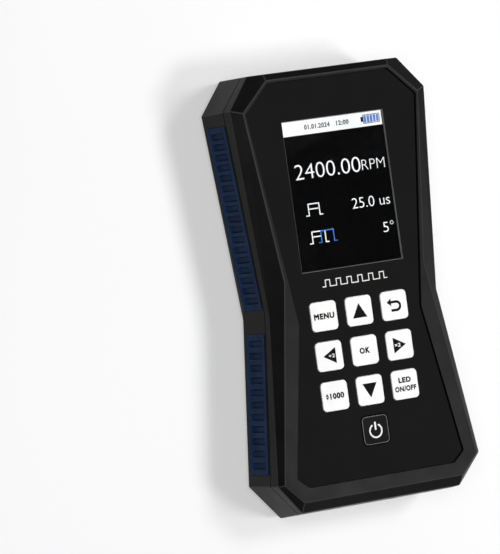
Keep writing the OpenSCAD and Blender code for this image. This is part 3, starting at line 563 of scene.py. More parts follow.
class Finishes(Enum):
    """Every finish on the object."""

    # The case plastic carries a painted highlight on its rounded edges
    CASE = EdgeLitFinish("case_plastic_finish", "171616", "121111", 0.31, 0.37, 14, 0.16, 0.006, 0.042)
    OVERLAY = Finish("overlay_film_finish", "161616", "151515", 0.68, 0.75, 20, 0.12, 0.003, 0.04)
    WINDOW = GlassFinish("window_finish", "f8fafb", "f2f5f7", 0.01, 0.03, relief=0.0)
    EDGE = Finish("screen_edge_finish", "808183", "707174", 0.3, 0.4, grain=0.1, relief=0.002)
    PANEL = Finish(
        "display_panel_finish", "010101", "020202", 0.05, 0.08, grain=0.18, relief=0.0005, level=0.02)
    WHITE_FRAME = Finish("backlight_finish", "e6e6e2", "dcdcd8", 0.5, 0.6)
    PICTURE_WHITE = ScreenFinish("picture_white_finish", "ffffff", "fafaf9", strength=1.15, dark=0.86)
    PICTURE_GREY = ScreenFinish("picture_grey_finish", "3c3e42", "303236")
    PICTURE_BLUE = ScreenFinish("picture_blue_finish", "2f7ad6", "2a6fc6")
    KEY_WHITE = Finish("white_key_finish", "f2f2f1", "ebebea", 0.45, 0.55, grain=0.2, relief=0.004)
    KEY_BLACK = Finish(
        "black_key_finish", "131313", "101010", 0.5, 0.6, grain=0.2, relief=0.004, level=0.045)
    INK_BLACK = Finish(
        "black_ink_finish", "0d0d0d", "121212", 0.5, 0.6, grain=0.1, relief=0.002, level=0.035)
    INK_WHITE = Finish("white_ink_finish", "f0f0ef", "e2e2e0", 0.5, 0.6, grain=0.1, relief=0.002)
    INK_GREY = Finish("grey_ink_finish", "77787a", "6c6d6f", 0.5, 0.6, grain=0.1, relief=0.002)
    # The grip rubber carries a painted highlight on its edges and painted shade in its slots' corners
    GRIP = SlotShadeFinish(
        "grip_rubber_finish", "1e3455", "182b48", 0.5, 0.6, 9, 0.18, 0.012, 0.035, edge_light="345079")
    FOOT = Finish("foot_rubber_finish", "161616", "1d1d1c", 0.6, 0.75, 5, 0.2, 0.015, 0.3)
    LENS = LampFinish("lit_lens_finish", "85888e", "7c7f84", 0.12, 0.2, relief=0.001)
    STEEL = MetalFinish("steel_finish", "a9abad", "8f9194", 0.25, 0.4, 3, 0.15, 0.004)
    BRASS = MetalFinish("brass_finish", "c9a24f", "b08a3c", 0.25, 0.38, 3, 0.15, 0.004)
    GOLD = MetalFinish("gold_contact_finish", "d8b25a", "c69f48", 0.2, 0.3, 1, 0.05, 0.001)
    ALLOY = MetalFinish("cast_alloy_finish", "b9bcc0", "9fa3a8", 0.35, 0.5, 6, 0.2, 0.01)
    MIRROR = MetalFinish("reflector_finish", "e8eaec", "d9dcdf", 0.06, 0.12, 6, 0.2, 0.001)
    BOARD = BoardFinish("circuit_board_finish", "14502a", "114524", 0.3, 0.4, relief=0.004)
    CHIP = Finish("chip_plastic_finish", "1c1c1e", "232325", 0.5, 0.65, 4, 0.1, 0.006)
    PHOSPHOR = Finish("phosphor_finish", "e9d36a", "dcc455", 0.4, 0.5, 1, 0.05, 0.002)
    CELL = Finish("cell_wrap_finish", "1f4f9c", "1a4488", 0.25, 0.35, 20, 0.4, 0.004, coat=0.3)

    @property
    def material(self) -> bpy.types.Material:
        """The Blender material of the finish."""
        return self.value.material()


class Part(Enum):
    """What is selected in edit mode."""

    VERT = "verts"
    EDGE = "edges"
    FACE = "faces"


class Bench:
    """The modelling steps that the sub-assemblies share."""

    @staticmethod
    def new(name: str, data: bpy.types.ID) -> Piece:
        """A new object in the scene, at the origin.

        Args:
            name: Its name.
            data: Its mesh, curve, camera or light.

        Returns:
            The object.
        """
        made = bpy.data.objects.new(name, data)
        bpy.context.scene.collection.objects.link(made)
        return made

    @staticmethod
    def close() -> None:
        """Leaves edit mode."""
        if bpy.context.object and bpy.context.object.mode != "OBJECT":
            bpy.ops.object.mode_set(mode="OBJECT")

    @staticmethod
    def pick(*pieces: Piece) -> None:
        """Selects only these pieces, and makes the first one active.

        Args:
            *pieces: The pieces.
        """
        Bench.close()
        bpy.ops.object.select_all(action="DESELECT")
        for piece in pieces:
            piece.select_set(True)
        if pieces:
            bpy.context.view_layer.objects.active = pieces[0]

    @staticmethod
    def edit(piece: Piece) -> None:
        """Opens a piece in edit mode."""
        Bench.pick(piece)
        bpy.ops.object.mode_set(mode="EDIT")

    @staticmethod
    def choose(piece: Piece, part: Part, test: Callable[[object], bool] = lambda item: True) -> int:
        """Selects the corners, edges or faces that pass a test, in edit mode.

        Args:
            piece: The piece in edit mode.
            part: Which of them are selected.
            test: Says whether one is wanted.

        Returns:
            How many are selected.
        """
        bpy.ops.mesh.select_mode(type=part.name)
        bpy.ops.mesh.select_all(action="DESELECT")
        mesh = bmesh.from_edit_mesh(piece.data)
        kinds = {Part.VERT: mesh.verts, Part.EDGE: mesh.edges, Part.FACE: mesh.faces}
        wanted = [item for item in kinds[part] if test(item)]
        for item in wanted:
            item.select_set(True)
        bmesh.update_edit_mesh(piece.data)
        return len(wanted)

    @staticmethod
    def name(piece: Piece, name: str) -> Piece:
        """Names a piece and its mesh."""
        piece.name = piece.data.name = name
        return piece

    @staticmethod
    def settle(piece: Piece) -> Piece:
        """Puts a piece's place, turn and scale into its mesh.

        Args:
            piece: The piece.

        Returns:
            The same piece.
        """
        Bench.pick(piece)
        bpy.ops.object.transform_apply(location=True, rotation=True, scale=True)
        return piece

    @staticmethod
    def apply(piece: Piece, kind: str, **settings: object) -> None:
        """Adds a modifier and applies it.

        Args:
            piece: The piece.
            kind: Blender's name of the modifier type.
            **settings: The modifier's properties.
        """
        Bench.pick(piece)
        modifier = piece.modifiers.new(kind.lower(), kind)
        for label, value in settings.items():
            setattr(modifier, label, value)
        bpy.ops.object.modifier_apply(modifier=modifier.name)

    @staticmethod
    def shade(piece: Piece, angle: float = 35.0) -> None:
        """Shades a piece smooth up to an angle and keeps its flat faces flat.

        Args:
            piece: The piece.
            angle: Largest crease that is smooth, in degrees.
        """
        Bench.pick(piece)
        bpy.ops.object.shade_smooth_by_angle(angle=math.radians(angle))
        Bench.apply(piece, "WEIGHTED_NORMAL", keep_sharp=True)

    @staticmethod
    def dress(piece: Piece, finish: Finishes) -> None:
        """Gives every face of a piece one finish."""
        piece.data.materials.clear()
        piece.data.materials.append(finish.material)

    @staticmethod
    def report(piece: Piece) -> None:
        """Logs a finished piece."""
        LOG.info("%s: %d faces", piece.name, len(piece.data.polygons))

    @staticmethod
    def copy_node(node: str, name: str) -> Piece:
        """A loose copy of a frame node's mesh, merged and with its flat faces whole.

        Args:
            node: The frame node.
            name: The new piece's name.

        Returns:
            The new piece.
        """
        flat = math.radians(0.3)
        piece = Bench.name(Bench.new(name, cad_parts[node].data.copy()), name)
        Bench.edit(piece)
        bpy.ops.mesh.select_all(action="SELECT")
        bpy.ops.mesh.customdata_custom_splitnormals_clear()
        bpy.ops.mesh.remove_doubles(threshold=MERGE)
        bpy.ops.mesh.dissolve_limited(angle_limit=flat)
        Bench.close()
        return piece

    @staticmethod
    def soften(
        piece: Piece, test: Callable[[Edge], bool], width: float, segments: int = 2, paint_edge_highlight: bool = False,
    ) -> None:
        """Rounds the edges that pass a test.

        Args:
            piece: The piece.
            test: Says whether an edge is rounded.
            width: Width of the rounding, in metres.
            segments: Steps across it.
            paint_edge_highlight: Whether the middle of the rounding is marked for a painted highlight.
        """
        Bench.edit(piece)
        if Bench.choose(piece, Part.EDGE, test):
            bpy.ops.mesh.bevel(
                offset=width, segments=segments, profile=0.5, affect="EDGES", clamp_overlap=False)
            mesh = bmesh.from_edit_mesh(piece.data)
            broad = 1.5 * width
            narrow = {
                face for face in mesh.faces
                if face.select and face.calc_area() < broad * max(e.calc_length() for e in face.edges)}
            middle = {v.index for v in mesh.verts if v.link_faces and narrow.issuperset(v.link_faces)}
            Bench.close()
            # The middle of the rounding is marked for a painted highlight
            if paint_edge_highlight:
                Bench.mark(piece, EDGE_HIGHLIGHT, dict.fromkeys(middle, 1.0))
        Bench.close()

    @staticmethod
    def mark(piece: Piece, attribute: str, values: dict[int, float]) -> None:
        """Writes values of vertices into an attribute of the piece's mesh.

        Args:
            piece: The piece.
            attribute: The attribute's name.
            values: Value of each marked vertex, by its index.
        """
        layers = piece.data.attributes
        layer = layers.get(attribute) or layers.new(attribute, "FLOAT", "POINT")
        for i, value in values.items():
            layer.data[i].value = value

    @staticmethod
    def join(pieces: Sequence[Piece], name: str) -> Piece:
        """Joins several pieces into the first one.

        Args:
            pieces: The pieces.
            name: The name of the whole.

        Returns:
            The whole.
        """
        Bench.pick(*pieces)
        if len(pieces) > 1:
            bpy.ops.object.join()
        return Bench.name(bpy.context.object, name)

    @staticmethod
    def outwards(piece: Piece) -> None:
        """Merges doubles and points every face outwards.

        Args:
            piece: The piece.
        """
        Bench.edit(piece)
        bpy.ops.mesh.select_all(action="SELECT")
        bpy.ops.mesh.remove_doubles(threshold=MERGE / 2)
        bpy.ops.mesh.normals_make_consistent(inside=False)
        Bench.close()


@dataclass
class Printer:
    """Draws flat shapes and words as thin printed layers, in millimetres from a centre.

    Attributes:
        z: Height of the face that is printed on, in metres.
        thickness: Thickness of a layer, in metres.
        centre: Where the centre lies, in metres.
        extrude: How far a letter is extruded before it is made as thin as a layer, in ems.
        spacing: How much the letters' spacing grows with their strokes.
    """

    z: float
    thickness: float
    centre: Point = (0.0, 0.0)
    extrude: float = 0.1
    spacing: float = 2.8

    def above(self) -> "Printer":
        """A printer for a second layer on the first one."""
        return Printer(self.z + self.thickness, self.thickness, self.centre)

    def at(self, x: float, y: float) -> Point:
        """A place in metres, from millimetres."""
        return (self.centre[0] + x * MM, self.centre[1] + y * MM)

    def shape(self, finish: Finishes, *outlines: Outline) -> Piece:
        """A filled shape; an outline inside another one is a hole.

        Args:
            finish: The ink.
            *outlines: Closed outlines.

        Returns:
            The printed piece.
        """
        curve = bpy.data.curves.new("shape", "CURVE")
        curve.dimensions = "2D"
        curve.fill_mode = "BOTH"
        curve.extrude = self.thickness / 2
        for outline in outlines:
            spline = curve.splines.new("POLY")
            spline.points.add(len(outline) - 1)
            for point, place in zip(spline.points, outline):
                point.co = (*self.at(*place), 0.0, 1.0)
            spline.use_cyclic_u = True
        Bench.pick(Bench.new("shape", curve))
        bpy.ops.object.convert(target="MESH")
        piece = bpy.context.object
        piece.location.z = self.z + self.thickness / 2
        Bench.settle(piece)
        Bench.dress(piece, finish)
        return piece

    def word(self, text: str, low: Point, high: Point, finish: Finishes, bold: float) -> Piece:
        """A word or number that fills a box.

        Args:
            text: What is printed.
            low: Left lower corner of the box.
            high: Right upper corner.
            finish: The ink.
            bold: How much each stroke grows on either side, in ems; a minus sign thins it.

        Returns:
            The printed piece.
        """
        Bench.pick()
        bpy.ops.object.text_add(location=(0.0, 0.0, 0.0))
        letters = bpy.context.object.data
        letters.body = text
        letters.extrude = self.extrude
        letters.bevel_depth = max(bold, 0.0)
        letters.bevel_resolution = 1
        letters.offset = min(bold, 0.0)
        letters.space_character = 1.0 + self.spacing * max(bold, 0.0)
        bpy.ops.object.convert(target="MESH")
        piece = bpy.context.object
        corners = [vertex.co for vertex in piece.data.vertices]
        left, right = min(c.x for c in corners), max(c.x for c in corners)
        bottom, top = min(c.y for c in corners), max(c.y for c in corners)
        low, high = self.at(*low), self.at(*high)
        wide = (high[0] - low[0]) / (right - left)
        tall = (high[1] - low[1]) / (top - bottom)
        piece.scale = (wide, tall, self.thickness / 2 / max(c.z for c in corners))
        piece.location = (low[0] - left * wide, low[1] - bottom * tall, self.z + self.thickness / 2)
        Bench.settle(piece)
        Bench.dress(piece, finish)
        return piece


def box_outline(low: Point, high: Point) -> Outline:
    """The four corners of a rectangle."""
    return [low, (high[0], low[1]), high, (low[0], high[1])]


def arc(centre: Point, radius: float, start: float, end: float, steps: int) -> Outline:
    """Points on an arc.

    Args:
        centre: The arc's centre.
        radius: Its radius.
        start: First angle, in degrees.
        end: Last angle, in degrees.
        steps: Number of steps.

    Returns:
        The points, first to last.
    """
    angles = [math.radians(start + (end - start) * i / steps) for i in range(steps + 1)]
    return [(centre[0] + radius * math.cos(a), centre[1] + radius * math.sin(a)) for a in angles]


def rounded_square(size: float, radius: float) -> Outline:
    """A square with round corners, round the centre.

    Args:
        size: Its side.
        radius: Radius of its corners.

    Returns:
        The outline.
    """
    points: Outline = []
    reach = size / 2 - radius
    for quarter, (sx, sy) in enumerate([(1, 1), (-1, 1), (-1, -1), (1, -1)]):
        points += arc((sx * reach, sy * reach), radius, 90 * quarter, 90 * quarter + 90, 6)
    return points


def ribbon(path: Outline, width: float) -> Outline:
    """The outline of a line of even width with mitred corners.

    Args:
        path: Points that the line follows.
        width: Its width.

    Returns:
        The outline, out along one side and back along the other.
    """
    points = [Vector(p) for p in path]
    ways = [(b - a).normalized() for a, b in zip(points, points[1:])]
    left: Outline = []
    right: Outline = []
    for i, point in enumerate(points):
        before = ways[max(i - 1, 0)]
        after = ways[min(i, len(ways) - 1)]
        middle = Vector((-(before.y + after.y), before.x + after.x)).normalized()
        reach = width / 2 / middle.dot(Vector((-before.y, before.x)))
        left.append(tuple(point + middle * reach))
        right.append(tuple(point - middle * reach))
    return left + right[::-1]


def screen_corners() -> tuple[Vector, Vector]:
    """Lower left and upper right corner of the overlay's cut-out for the screen.

    Returns:
        The two corners, in metres.
    """
    border = 1.2 * MM
    low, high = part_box("display_window")
    return Vector((low.x + border, low.y + border)), Vector((high.x - border, high.y - border))


@dataclass
class Case:
    """The two housings and the four feet.

    Attributes:
        edge: Width of the rounding on the case's own edges.
        rim_edge: Width of the rounding along the seam and round openings.
        foot_edge: Width of the rounding under the feet.
        open_share: Share of the rays that have to escape at an outer edge.
        least_angle: Smallest crease that is rounded, in degrees.
        square: Smallest crease of the seam and of an opening, in degrees.
        split: Longest of the tiny edges that part one corner in two.
        clear: How far from an edge its rays start.
        ray_count: Number of rays.
        ray_rise: How far the lowest ray rises, as a share of its length.
        rays: The ways of the rays from an edge that faces up.
        tree: A search tree of what closes the case.
    """

    edge: float = 0.35 * MM
    rim_edge: float = 0.12 * MM
    foot_edge: float = 0.5 * MM
    open_share: float = 0.7
    least_angle: float = 9.0
    square: float = 75.0
    split: float = 0.7 * MM
    clear: float = 0.02 * MM
    ray_count: int = 40
    ray_rise: float = 0.12
    rays: list[Vector] = field(default_factory=list)
    tree: BVHTree | None = None

    def build(self) -> None:
        """Builds and dresses the case."""
        self._ray_fan()
        self._closed_body()
        for node in ("front_housing", "rear_housing"):
            self._housing(node)
        self._feet()

    def _ray_fan(self) -> None:
        """Spreads the rays evenly over the upper half of a sphere."""
        turn = math.pi * (3 - math.sqrt(5))
        for i in range(self.ray_count):
            z = self.ray_rise + (1 - self.ray_rise) * (i + 0.5) / self.ray_count
            flat = math.sqrt(1 - z * z)
            self.rays.append(Vector((flat * math.cos(turn * i), flat * math.sin(turn * i), z)))

    def _closed_body(self) -> None:
        """Makes the search tree of the housings, the film and the window."""
        points: list[Vector] = []
        faces: list[list[int]] = []
        for node in ("front_housing", "rear_housing", "front_overlay", "display_window"):
            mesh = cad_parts[node].data
            start = len(points)
            points += [v.co.copy() for v in mesh.vertices]
            faces += [[start + i for i in p.vertices] for p in mesh.polygons]
        self.tree = BVHTree.FromPolygons(points, faces)

    def _is_open(self, edge: Edge, least: float, most: float) -> bool:
        """Says whether an edge is a crease on the outside of the closed case.

        Args:
            edge: The edge.
            least: Smallest crease, in degrees.
            most: Largest crease, in degrees.

        Returns:
            Whether its crease lies between the two and most rays escape from it.
        """
        if len(edge.link_faces) != 2 or not edge.is_convex:
            return False
        first, second = (face.normal for face in edge.link_faces)
        if not least <= math.degrees(first.angle(second, 0.0)) < most:
            return False
        out = (first + second).normalized()
        turn = Vector((0, 0, 1)).rotation_difference(out)
        start = (edge.verts[0].co + edge.verts[1].co) / 2 + out * self.clear
        free = sum(self.tree.ray_cast(start, turn @ ray)[0] is None for ray in self.rays)
        return free >= self.open_share * len(self.rays)

    def _housing(self, node: str) -> None:
        """Softens one housing: its own edges wide, its seam and openings narrow.

        Args:
            node: The frame node.
        """
        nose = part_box("front_housing")[1].y - NEAR
        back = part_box("rear_housing")[0].z + NEAR

        def slanted(edge: Edge) -> bool:
            """Whether it is an outer edge that isn't square."""
            return self._is_open(edge, self.least_angle, self.square)

        def own(edge: Edge) -> bool:
            """Whether it is one of the case's own edges, or on the nose at the back."""
            return slanted(edge) or all(v.co.y > nose and v.co.z < back for v in edge.verts)

        piece = Bench.copy_node(node, f"{node}_shell")
        Bench.edit(piece)
        Bench.choose(piece, Part.EDGE, lambda e: e.calc_length() < self.split and slanted(e))
        bpy.ops.mesh.merge(type="COLLAPSE")
        Bench.close()
        # The case's own edges get a painted highlight along the middle of their rounding
        Bench.soften(piece, own, self.edge, paint_edge_highlight=True)
        Bench.soften(piece, lambda e: self._is_open(e, self.square, 180.0), self.rim_edge)
        Bench.shade(piece)
        Bench.dress(piece, Finishes.CASE)
        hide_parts(node)
        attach(piece, "case")
        Bench.report(piece)

    def _feet(self) -> None:
        """Softens the feet where they meet the table."""
        piece = Bench.copy_node("rubber_feet", "rubber_foot_pads")
        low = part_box("rubber_feet")[0].z + NEAR
        Bench.soften(piece, lambda e: all(v.co.z < low for v in e.verts), self.foot_edge, 3)
        Bench.shade(piece)
        Bench.dress(piece, Finishes.FOOT)
        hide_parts("rubber_feet")
        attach(piece, "case")
        Bench.report(piece)


@dataclass
class Grips:
    """The four ribbed rubber grips.

    Attributes:
        edge: Width of the rounding on the grips' edges and ribs.
        crease: Smallest crease that is rounded, in degrees.
        slot_d: Depth of a slot.
        ramp: How far the lower end of a slot slopes.
        corner: Width of the painted shade in the corners of a slot.
    """

    edge: float = 0.22 * MM
    crease: float = 30.0
    slot_d: float = 1.1 * MM
    ramp: float = 1.3 * MM
    corner: float = 0.75 * MM

    def build(self) -> None:
        """Builds and dresses all four grips."""
        for level in ("upper", "lower"):
            for side in ("left", "right"):
                self._grip(f"grip_{level}_{side}")

    def _grip(self, node: str) -> None:
        """Softens one grip.

        Args:
            node: The frame node.
        """
        piece = Bench.copy_node(node, f"{node}_rubber")
        largest = max(piece.data.polygons, key=lambda p: p.area if p.normal.x * p.center.x > 0 else 0.0)
        normal, face = largest.normal.copy(), largest.center.copy()

        def proud(edge: Edge) -> bool:
            """Whether it is an edge of the grip's outer face."""
            near = all(abs((v.co - face).dot(normal)) < 2 * NEAR for v in edge.verts)
            return near and edge.calc_face_angle(0.0) > math.radians(self.crease)

        self._slots(piece, face - normal * self.slot_d, normal)
        # The grip's outer edges get a painted highlight
        Bench.soften(piece, proud, self.edge, paint_edge_highlight=True)
        Bench.shade(piece)
        Bench.dress(piece, Finishes.GRIP)
        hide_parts(node)
        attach(piece, "case")
        Bench.report(piece)

    def _slots(self, piece: Piece, floor: Vector, normal: Vector) -> None:
        """Slopes the lower ends of the slots and paints shade into their corners, fading to none at their
        lower ends.

        Args:
            piece: The grip.
            floor: A point in the plane of the slots' floors.
            normal: The way that this plane faces.
        """

        def deep(point: Vector) -> bool:
            """Whether it lies in the plane of the floors."""
            return abs((point - floor).dot(normal)) < 3 * NEAR

        Bench.edit(piece)
        Bench.choose(piece, Part.FACE, lambda f: f.normal.dot(normal) > 0.99 and deep(f.calc_center_median()))
        heights = [f.calc_center_median().z for f in bmesh.from_edit_mesh(piece.data).faces if f.select]
        middle_z = sum(heights) / len(heights)
        bpy.ops.mesh.inset(thickness=self.corner, use_individual=True)
        Bench.choose(piece, Part.VERT, lambda v: deep(v.co) and v.co.z < middle_z)
        floors = [v for v in bmesh.from_edit_mesh(piece.data).verts if deep(v.co)]
        low_z = min(v.co.z for v in floors)
        at_wall = [v for v in floors if any(abs(f.normal.dot(normal)) < 0.5 for f in v.link_faces)]
        # Painted shade along the slots' walls, none at their lower ends where light falls in
        values = {v.index: min(1.0, (v.co.z - low_z) / self.corner) for v in at_wall}
        bpy.ops.transform.translate(value=(0.0, 0.0, self.ramp))
        Bench.close()
        Bench.mark(piece, SLOT_SHADE, values)


@dataclass
class Overlay:
    """The front film, the pictogram on it and the chamfer round the screen.

    Attributes:
        edge: Width of the chamfer on the film's edges.
        crease: Smallest crease that is chamfered, in degrees.
        lip: Width of the flat top of the chamfer round the screen.
        frame_w: Width of that chamfer.
        ink: Thickness of the printed line.
        line: Width of the printed line, in millimetres.
        pulses: Number of pulses in the train under the screen.
        train_w: Width of the train, in millimetres.
        train_h: Height of the pulses, in millimetres.
        train_y: Place of the pulses' lower line, in millimetres.
    """

    edge: float = 0.1 * MM
    crease: float = 45.0
    lip: float = 0.02 * MM
    frame_w: float = 0.25 * MM
    ink: float = 0.015 * MM
    line: float = 0.35
    pulses: int = 6
    train_w: float = 28
    train_h: float = 2.5
    train_y: float = 1.8

    def build(self) -> None:
        """Builds and dresses the film and what is printed on it."""
        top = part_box("front_overlay")[1].z

        def upper(edge: Edge) -> bool:
            """Whether it is an edge of the film's upper face."""
            sharp = edge.calc_face_angle(0.0) > math.radians(self.crease)
            return sharp and all(v.co.z > top - NEAR for v in edge.verts)

        film = Bench.copy_node("front_overlay", "front_film")
        Bench.soften(film, upper, self.edge, 1)
        Bench.shade(film)
        Bench.dress(film, Finishes.OVERLAY)
        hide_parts("front_overlay")
        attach(film, "case")
        Bench.report(film)
        self._pulse_train(top)
        self._screen_chamfer(top)

    def _pulse_train(self, top: float) -> None:
        """Prints a plain train of square pulses under the screen.

        Args:
            top: Height of the film's face.
        """
        period, left = self.train_w / self.pulses, -self.train_w / 2
        low, high = self.train_y, self.train_y + self.train_h
        path: Outline = [(left, low)]
        for i in range(self.pulses):
            rise, fall = (left + (i + share) * period for share in (0.3, 0.7))
            path += [(rise, low), (rise, high), (fall, high), (fall, low)]
        path.append((left + self.train_w, low))
        piece = Printer(top, self.ink).shape(Finishes.INK_WHITE, ribbon(path, self.line))
        Bench.name(piece, "pulse_train_print")
        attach(piece, "case")
        Bench.report(piece)

    def _screen_chamfer(self, top: float) -> None:
        """Models the bright sloping edge between the film and the window.

        Args:
            top: Height of the film's face.
        """
        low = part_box("display_window")[1].z
        inner_low, inner_high = screen_corners()
        middle = (inner_low + inner_high) / 2
        size = inner_high - inner_low
        large = 0.9 * (size.x - 1 * MM) * (size.y - 1 * MM)
        Bench.pick()
        bpy.ops.mesh.primitive_plane_add(size=1.0, location=(middle.x, middle.y, low))
        piece = bpy.context.object
        piece.scale = (size.x, size.y, 1.0)
        Bench.settle(piece)
        Bench.edit(piece)
        bpy.ops.mesh.select_all(action="SELECT")
        bpy.ops.mesh.extrude_region_move(TRANSFORM_OT_translate={"value": (0.0, 0.0, top - low)})
        Bench.choose(piece, Part.FACE, lambda f: f.normal.z > 0.9)
        bpy.ops.mesh.inset(thickness=self.lip)
        bpy.ops.mesh.inset(thickness=self.frame_w, depth=-(top - low))
        Bench.choose(piece, Part.FACE, lambda f: abs(f.normal.z) > 0.9 and f.calc_area() > large)
        bpy.ops.mesh.delete(type="FACE")
        Bench.choose(piece, Part.EDGE, lambda e: e.is_boundary)
        bpy.ops.mesh.bridge_edge_loops()
        Bench.close()
        Bench.outwards(piece)
        Bench.dress(piece, Finishes.EDGE)
        Bench.name(piece, "screen_chamfer")
        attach(piece, "case")
        Bench.report(piece)


@dataclass
class Display:
    """The picture on the display module, under its window.

    The picture holds plain numbers. Its places and sizes are in millimetres,
    measured from the middle of the case.

    Attributes:
        layer: Thickness of the picture's layer, in metres.
        lift: Gap between the display glass and the picture, in metres.
        margin: Width of the dark border round the picture.
        line: Width of the lines in the pulse signs.
        bar_h: Height of the white bar along the top.
        foot: Length of a pulse's foot.
        pulse_h: Height of a pulse.
        crossbar: Height of the bar across a pulse, as a share of the pulse's.
    """

    layer: float = 0.02 * MM
    lift: float = 0.01 * MM
    margin: float = 0.2
    line: float = 0.42
    bar_h: float = 5.55
    foot: float = 1.35
    pulse_h: float = 4.4
    crossbar: float = 0.56

    def build(self) -> None:
        """Builds the four parts of the picture."""
        self.under = Printer(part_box("lcd_glass")[1].z + self.lift, self.layer)
        self.over = self.under.above()
        parts = {
            "screen_white_picture": [self._status_bar(), *self._numbers(), *self._signs()],
            "screen_clock": self._clock(),
            "screen_battery": self._battery(),
            "screen_blue_sign": [self._pulse(self.over, -12.3, 18.7, 8.1, Finishes.PICTURE_BLUE)],
        }
        for name, printed in parts.items():
            piece = Bench.join(printed, name)
            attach(piece, "case")
            Bench.report(piece)

    def _status_bar(self) -> Piece:
        """The white bar along the top of the picture.

        Returns:
            The printed bar.
        """
        low, high = (corner / MM for corner in screen_corners())
        left, right, top = low.x + self.margin, high.x - self.margin, high.y - self.margin
        return self.under.shape(Finishes.PICTURE_WHITE, box_outline((left, top - self.bar_h), (right, top)))

    def _numbers(self) -> list[Piece]:
        """The measured values and their units.

        Returns:
            The printed parts.
        """
        words = [
            ("2400.00", (-18.4, 43.4), (9.8, 49.2), -0.012),
            ("RPM", (10.4, 43.7), (20.3, 47.7), -0.02),
            ("25.0 us", (4.0, 29.6), (20.4, 33.6), -0.01),
            ("5°", (15.9, 19.0), (20.6, 23.1), -0.01),
        ]
        white = Finishes.PICTURE_WHITE
        return [self.under.word(text, low, high, white, bold) for text, low, high, bold in words]

    def _pulse(self, printer: Printer, x: float, y: float, w: float, finish: Finishes) -> Piece:
        """A square pulse with its feet.

        Args:
            printer: What draws it.
            x: Left end of the left foot.
            y: Height of the feet.
            w: Width from foot to foot.
            finish: Its colour.

        Returns:
            The printed part.
        """
        left, right, top = x + self.foot, x + w - self.foot, y + self.pulse_h
        path = [(x, y), (left, y), (left, top), (right, top), (right, y), (x + w, y)]
        return printer.shape(finish, ribbon(path, self.line))

    def _signs(self) -> list[Piece]:
        """The white pulse signs beside the numbers, each with a bar across it.

        Returns:
            The printed parts.
        """
        white = Finishes.PICTURE_WHITE
        parts = []
        for y, width, end in ((29.4, 7.3, -10.5), (18.7, 8.3, -11.2)):
            bar_y = y + self.crossbar * self.pulse_h
            parts.append(self._pulse(self.under, -16.1, y, width, white))
            parts.append(self.under.shape(white, ribbon([(-14.5, bar_y), (end, bar_y)], self.line)))
        return parts

    def _clock(self) -> list[Piece]:
        """The grey date and time in the status bar.

        Returns:
            The printed parts.
        """
        low, high, bold = 62.05, 63.95, 0.05
        words = [("01.01.2024", -11.9, -0.9), ("12:00", 1.9, 7.3)]
        return [
            self.over.word(text, (left, low), (right, high), Finishes.PICTURE_GREY, bold)
            for text, left, right in words
        ]

    def _battery(self) -> list[Piece]:
        """The battery sign in the status bar: its body, its nub and five bars.

        Returns:
            The printed parts.
        """
        left, right, low, high = 13.5, 20.8, 61.3, 64.8
        nub_left, nub_low, nub_high = 12.6, 62.1, 64.0
        wall, gap, bars = 0.28, 0.12, 5
        pitch = (right - left - 2 * wall) / bars
        bar_w = pitch - 2.5 * gap
        body = [box_outline((left + t, low + t), (right - t, high - t)) for t in (0.0, wall)]
        parts = [
            self.over.shape(Finishes.PICTURE_GREY, *body),
            self.over.shape(Finishes.PANEL, box_outline((nub_left, nub_low), (left, nub_high))),
        ]
        for i in range(bars):
            start = left + wall + i * pitch + gap
            bar = box_outline((start, low + wall + gap), (start + bar_w, high - wall - gap))
            parts.append(self.over.shape(Finishes.PICTURE_BLUE, bar))
        return parts


class Sign(Enum):
    """What a key shows."""

    MENU = "menu"
    UP = "up"
    BACK = "back"
    LEFT = "left"
    OK = "ok"
    RIGHT = "right"
    THOUSAND = "thousand"
    DOWN = "down"
    LAMP = "lamp"
    POWER = "power"


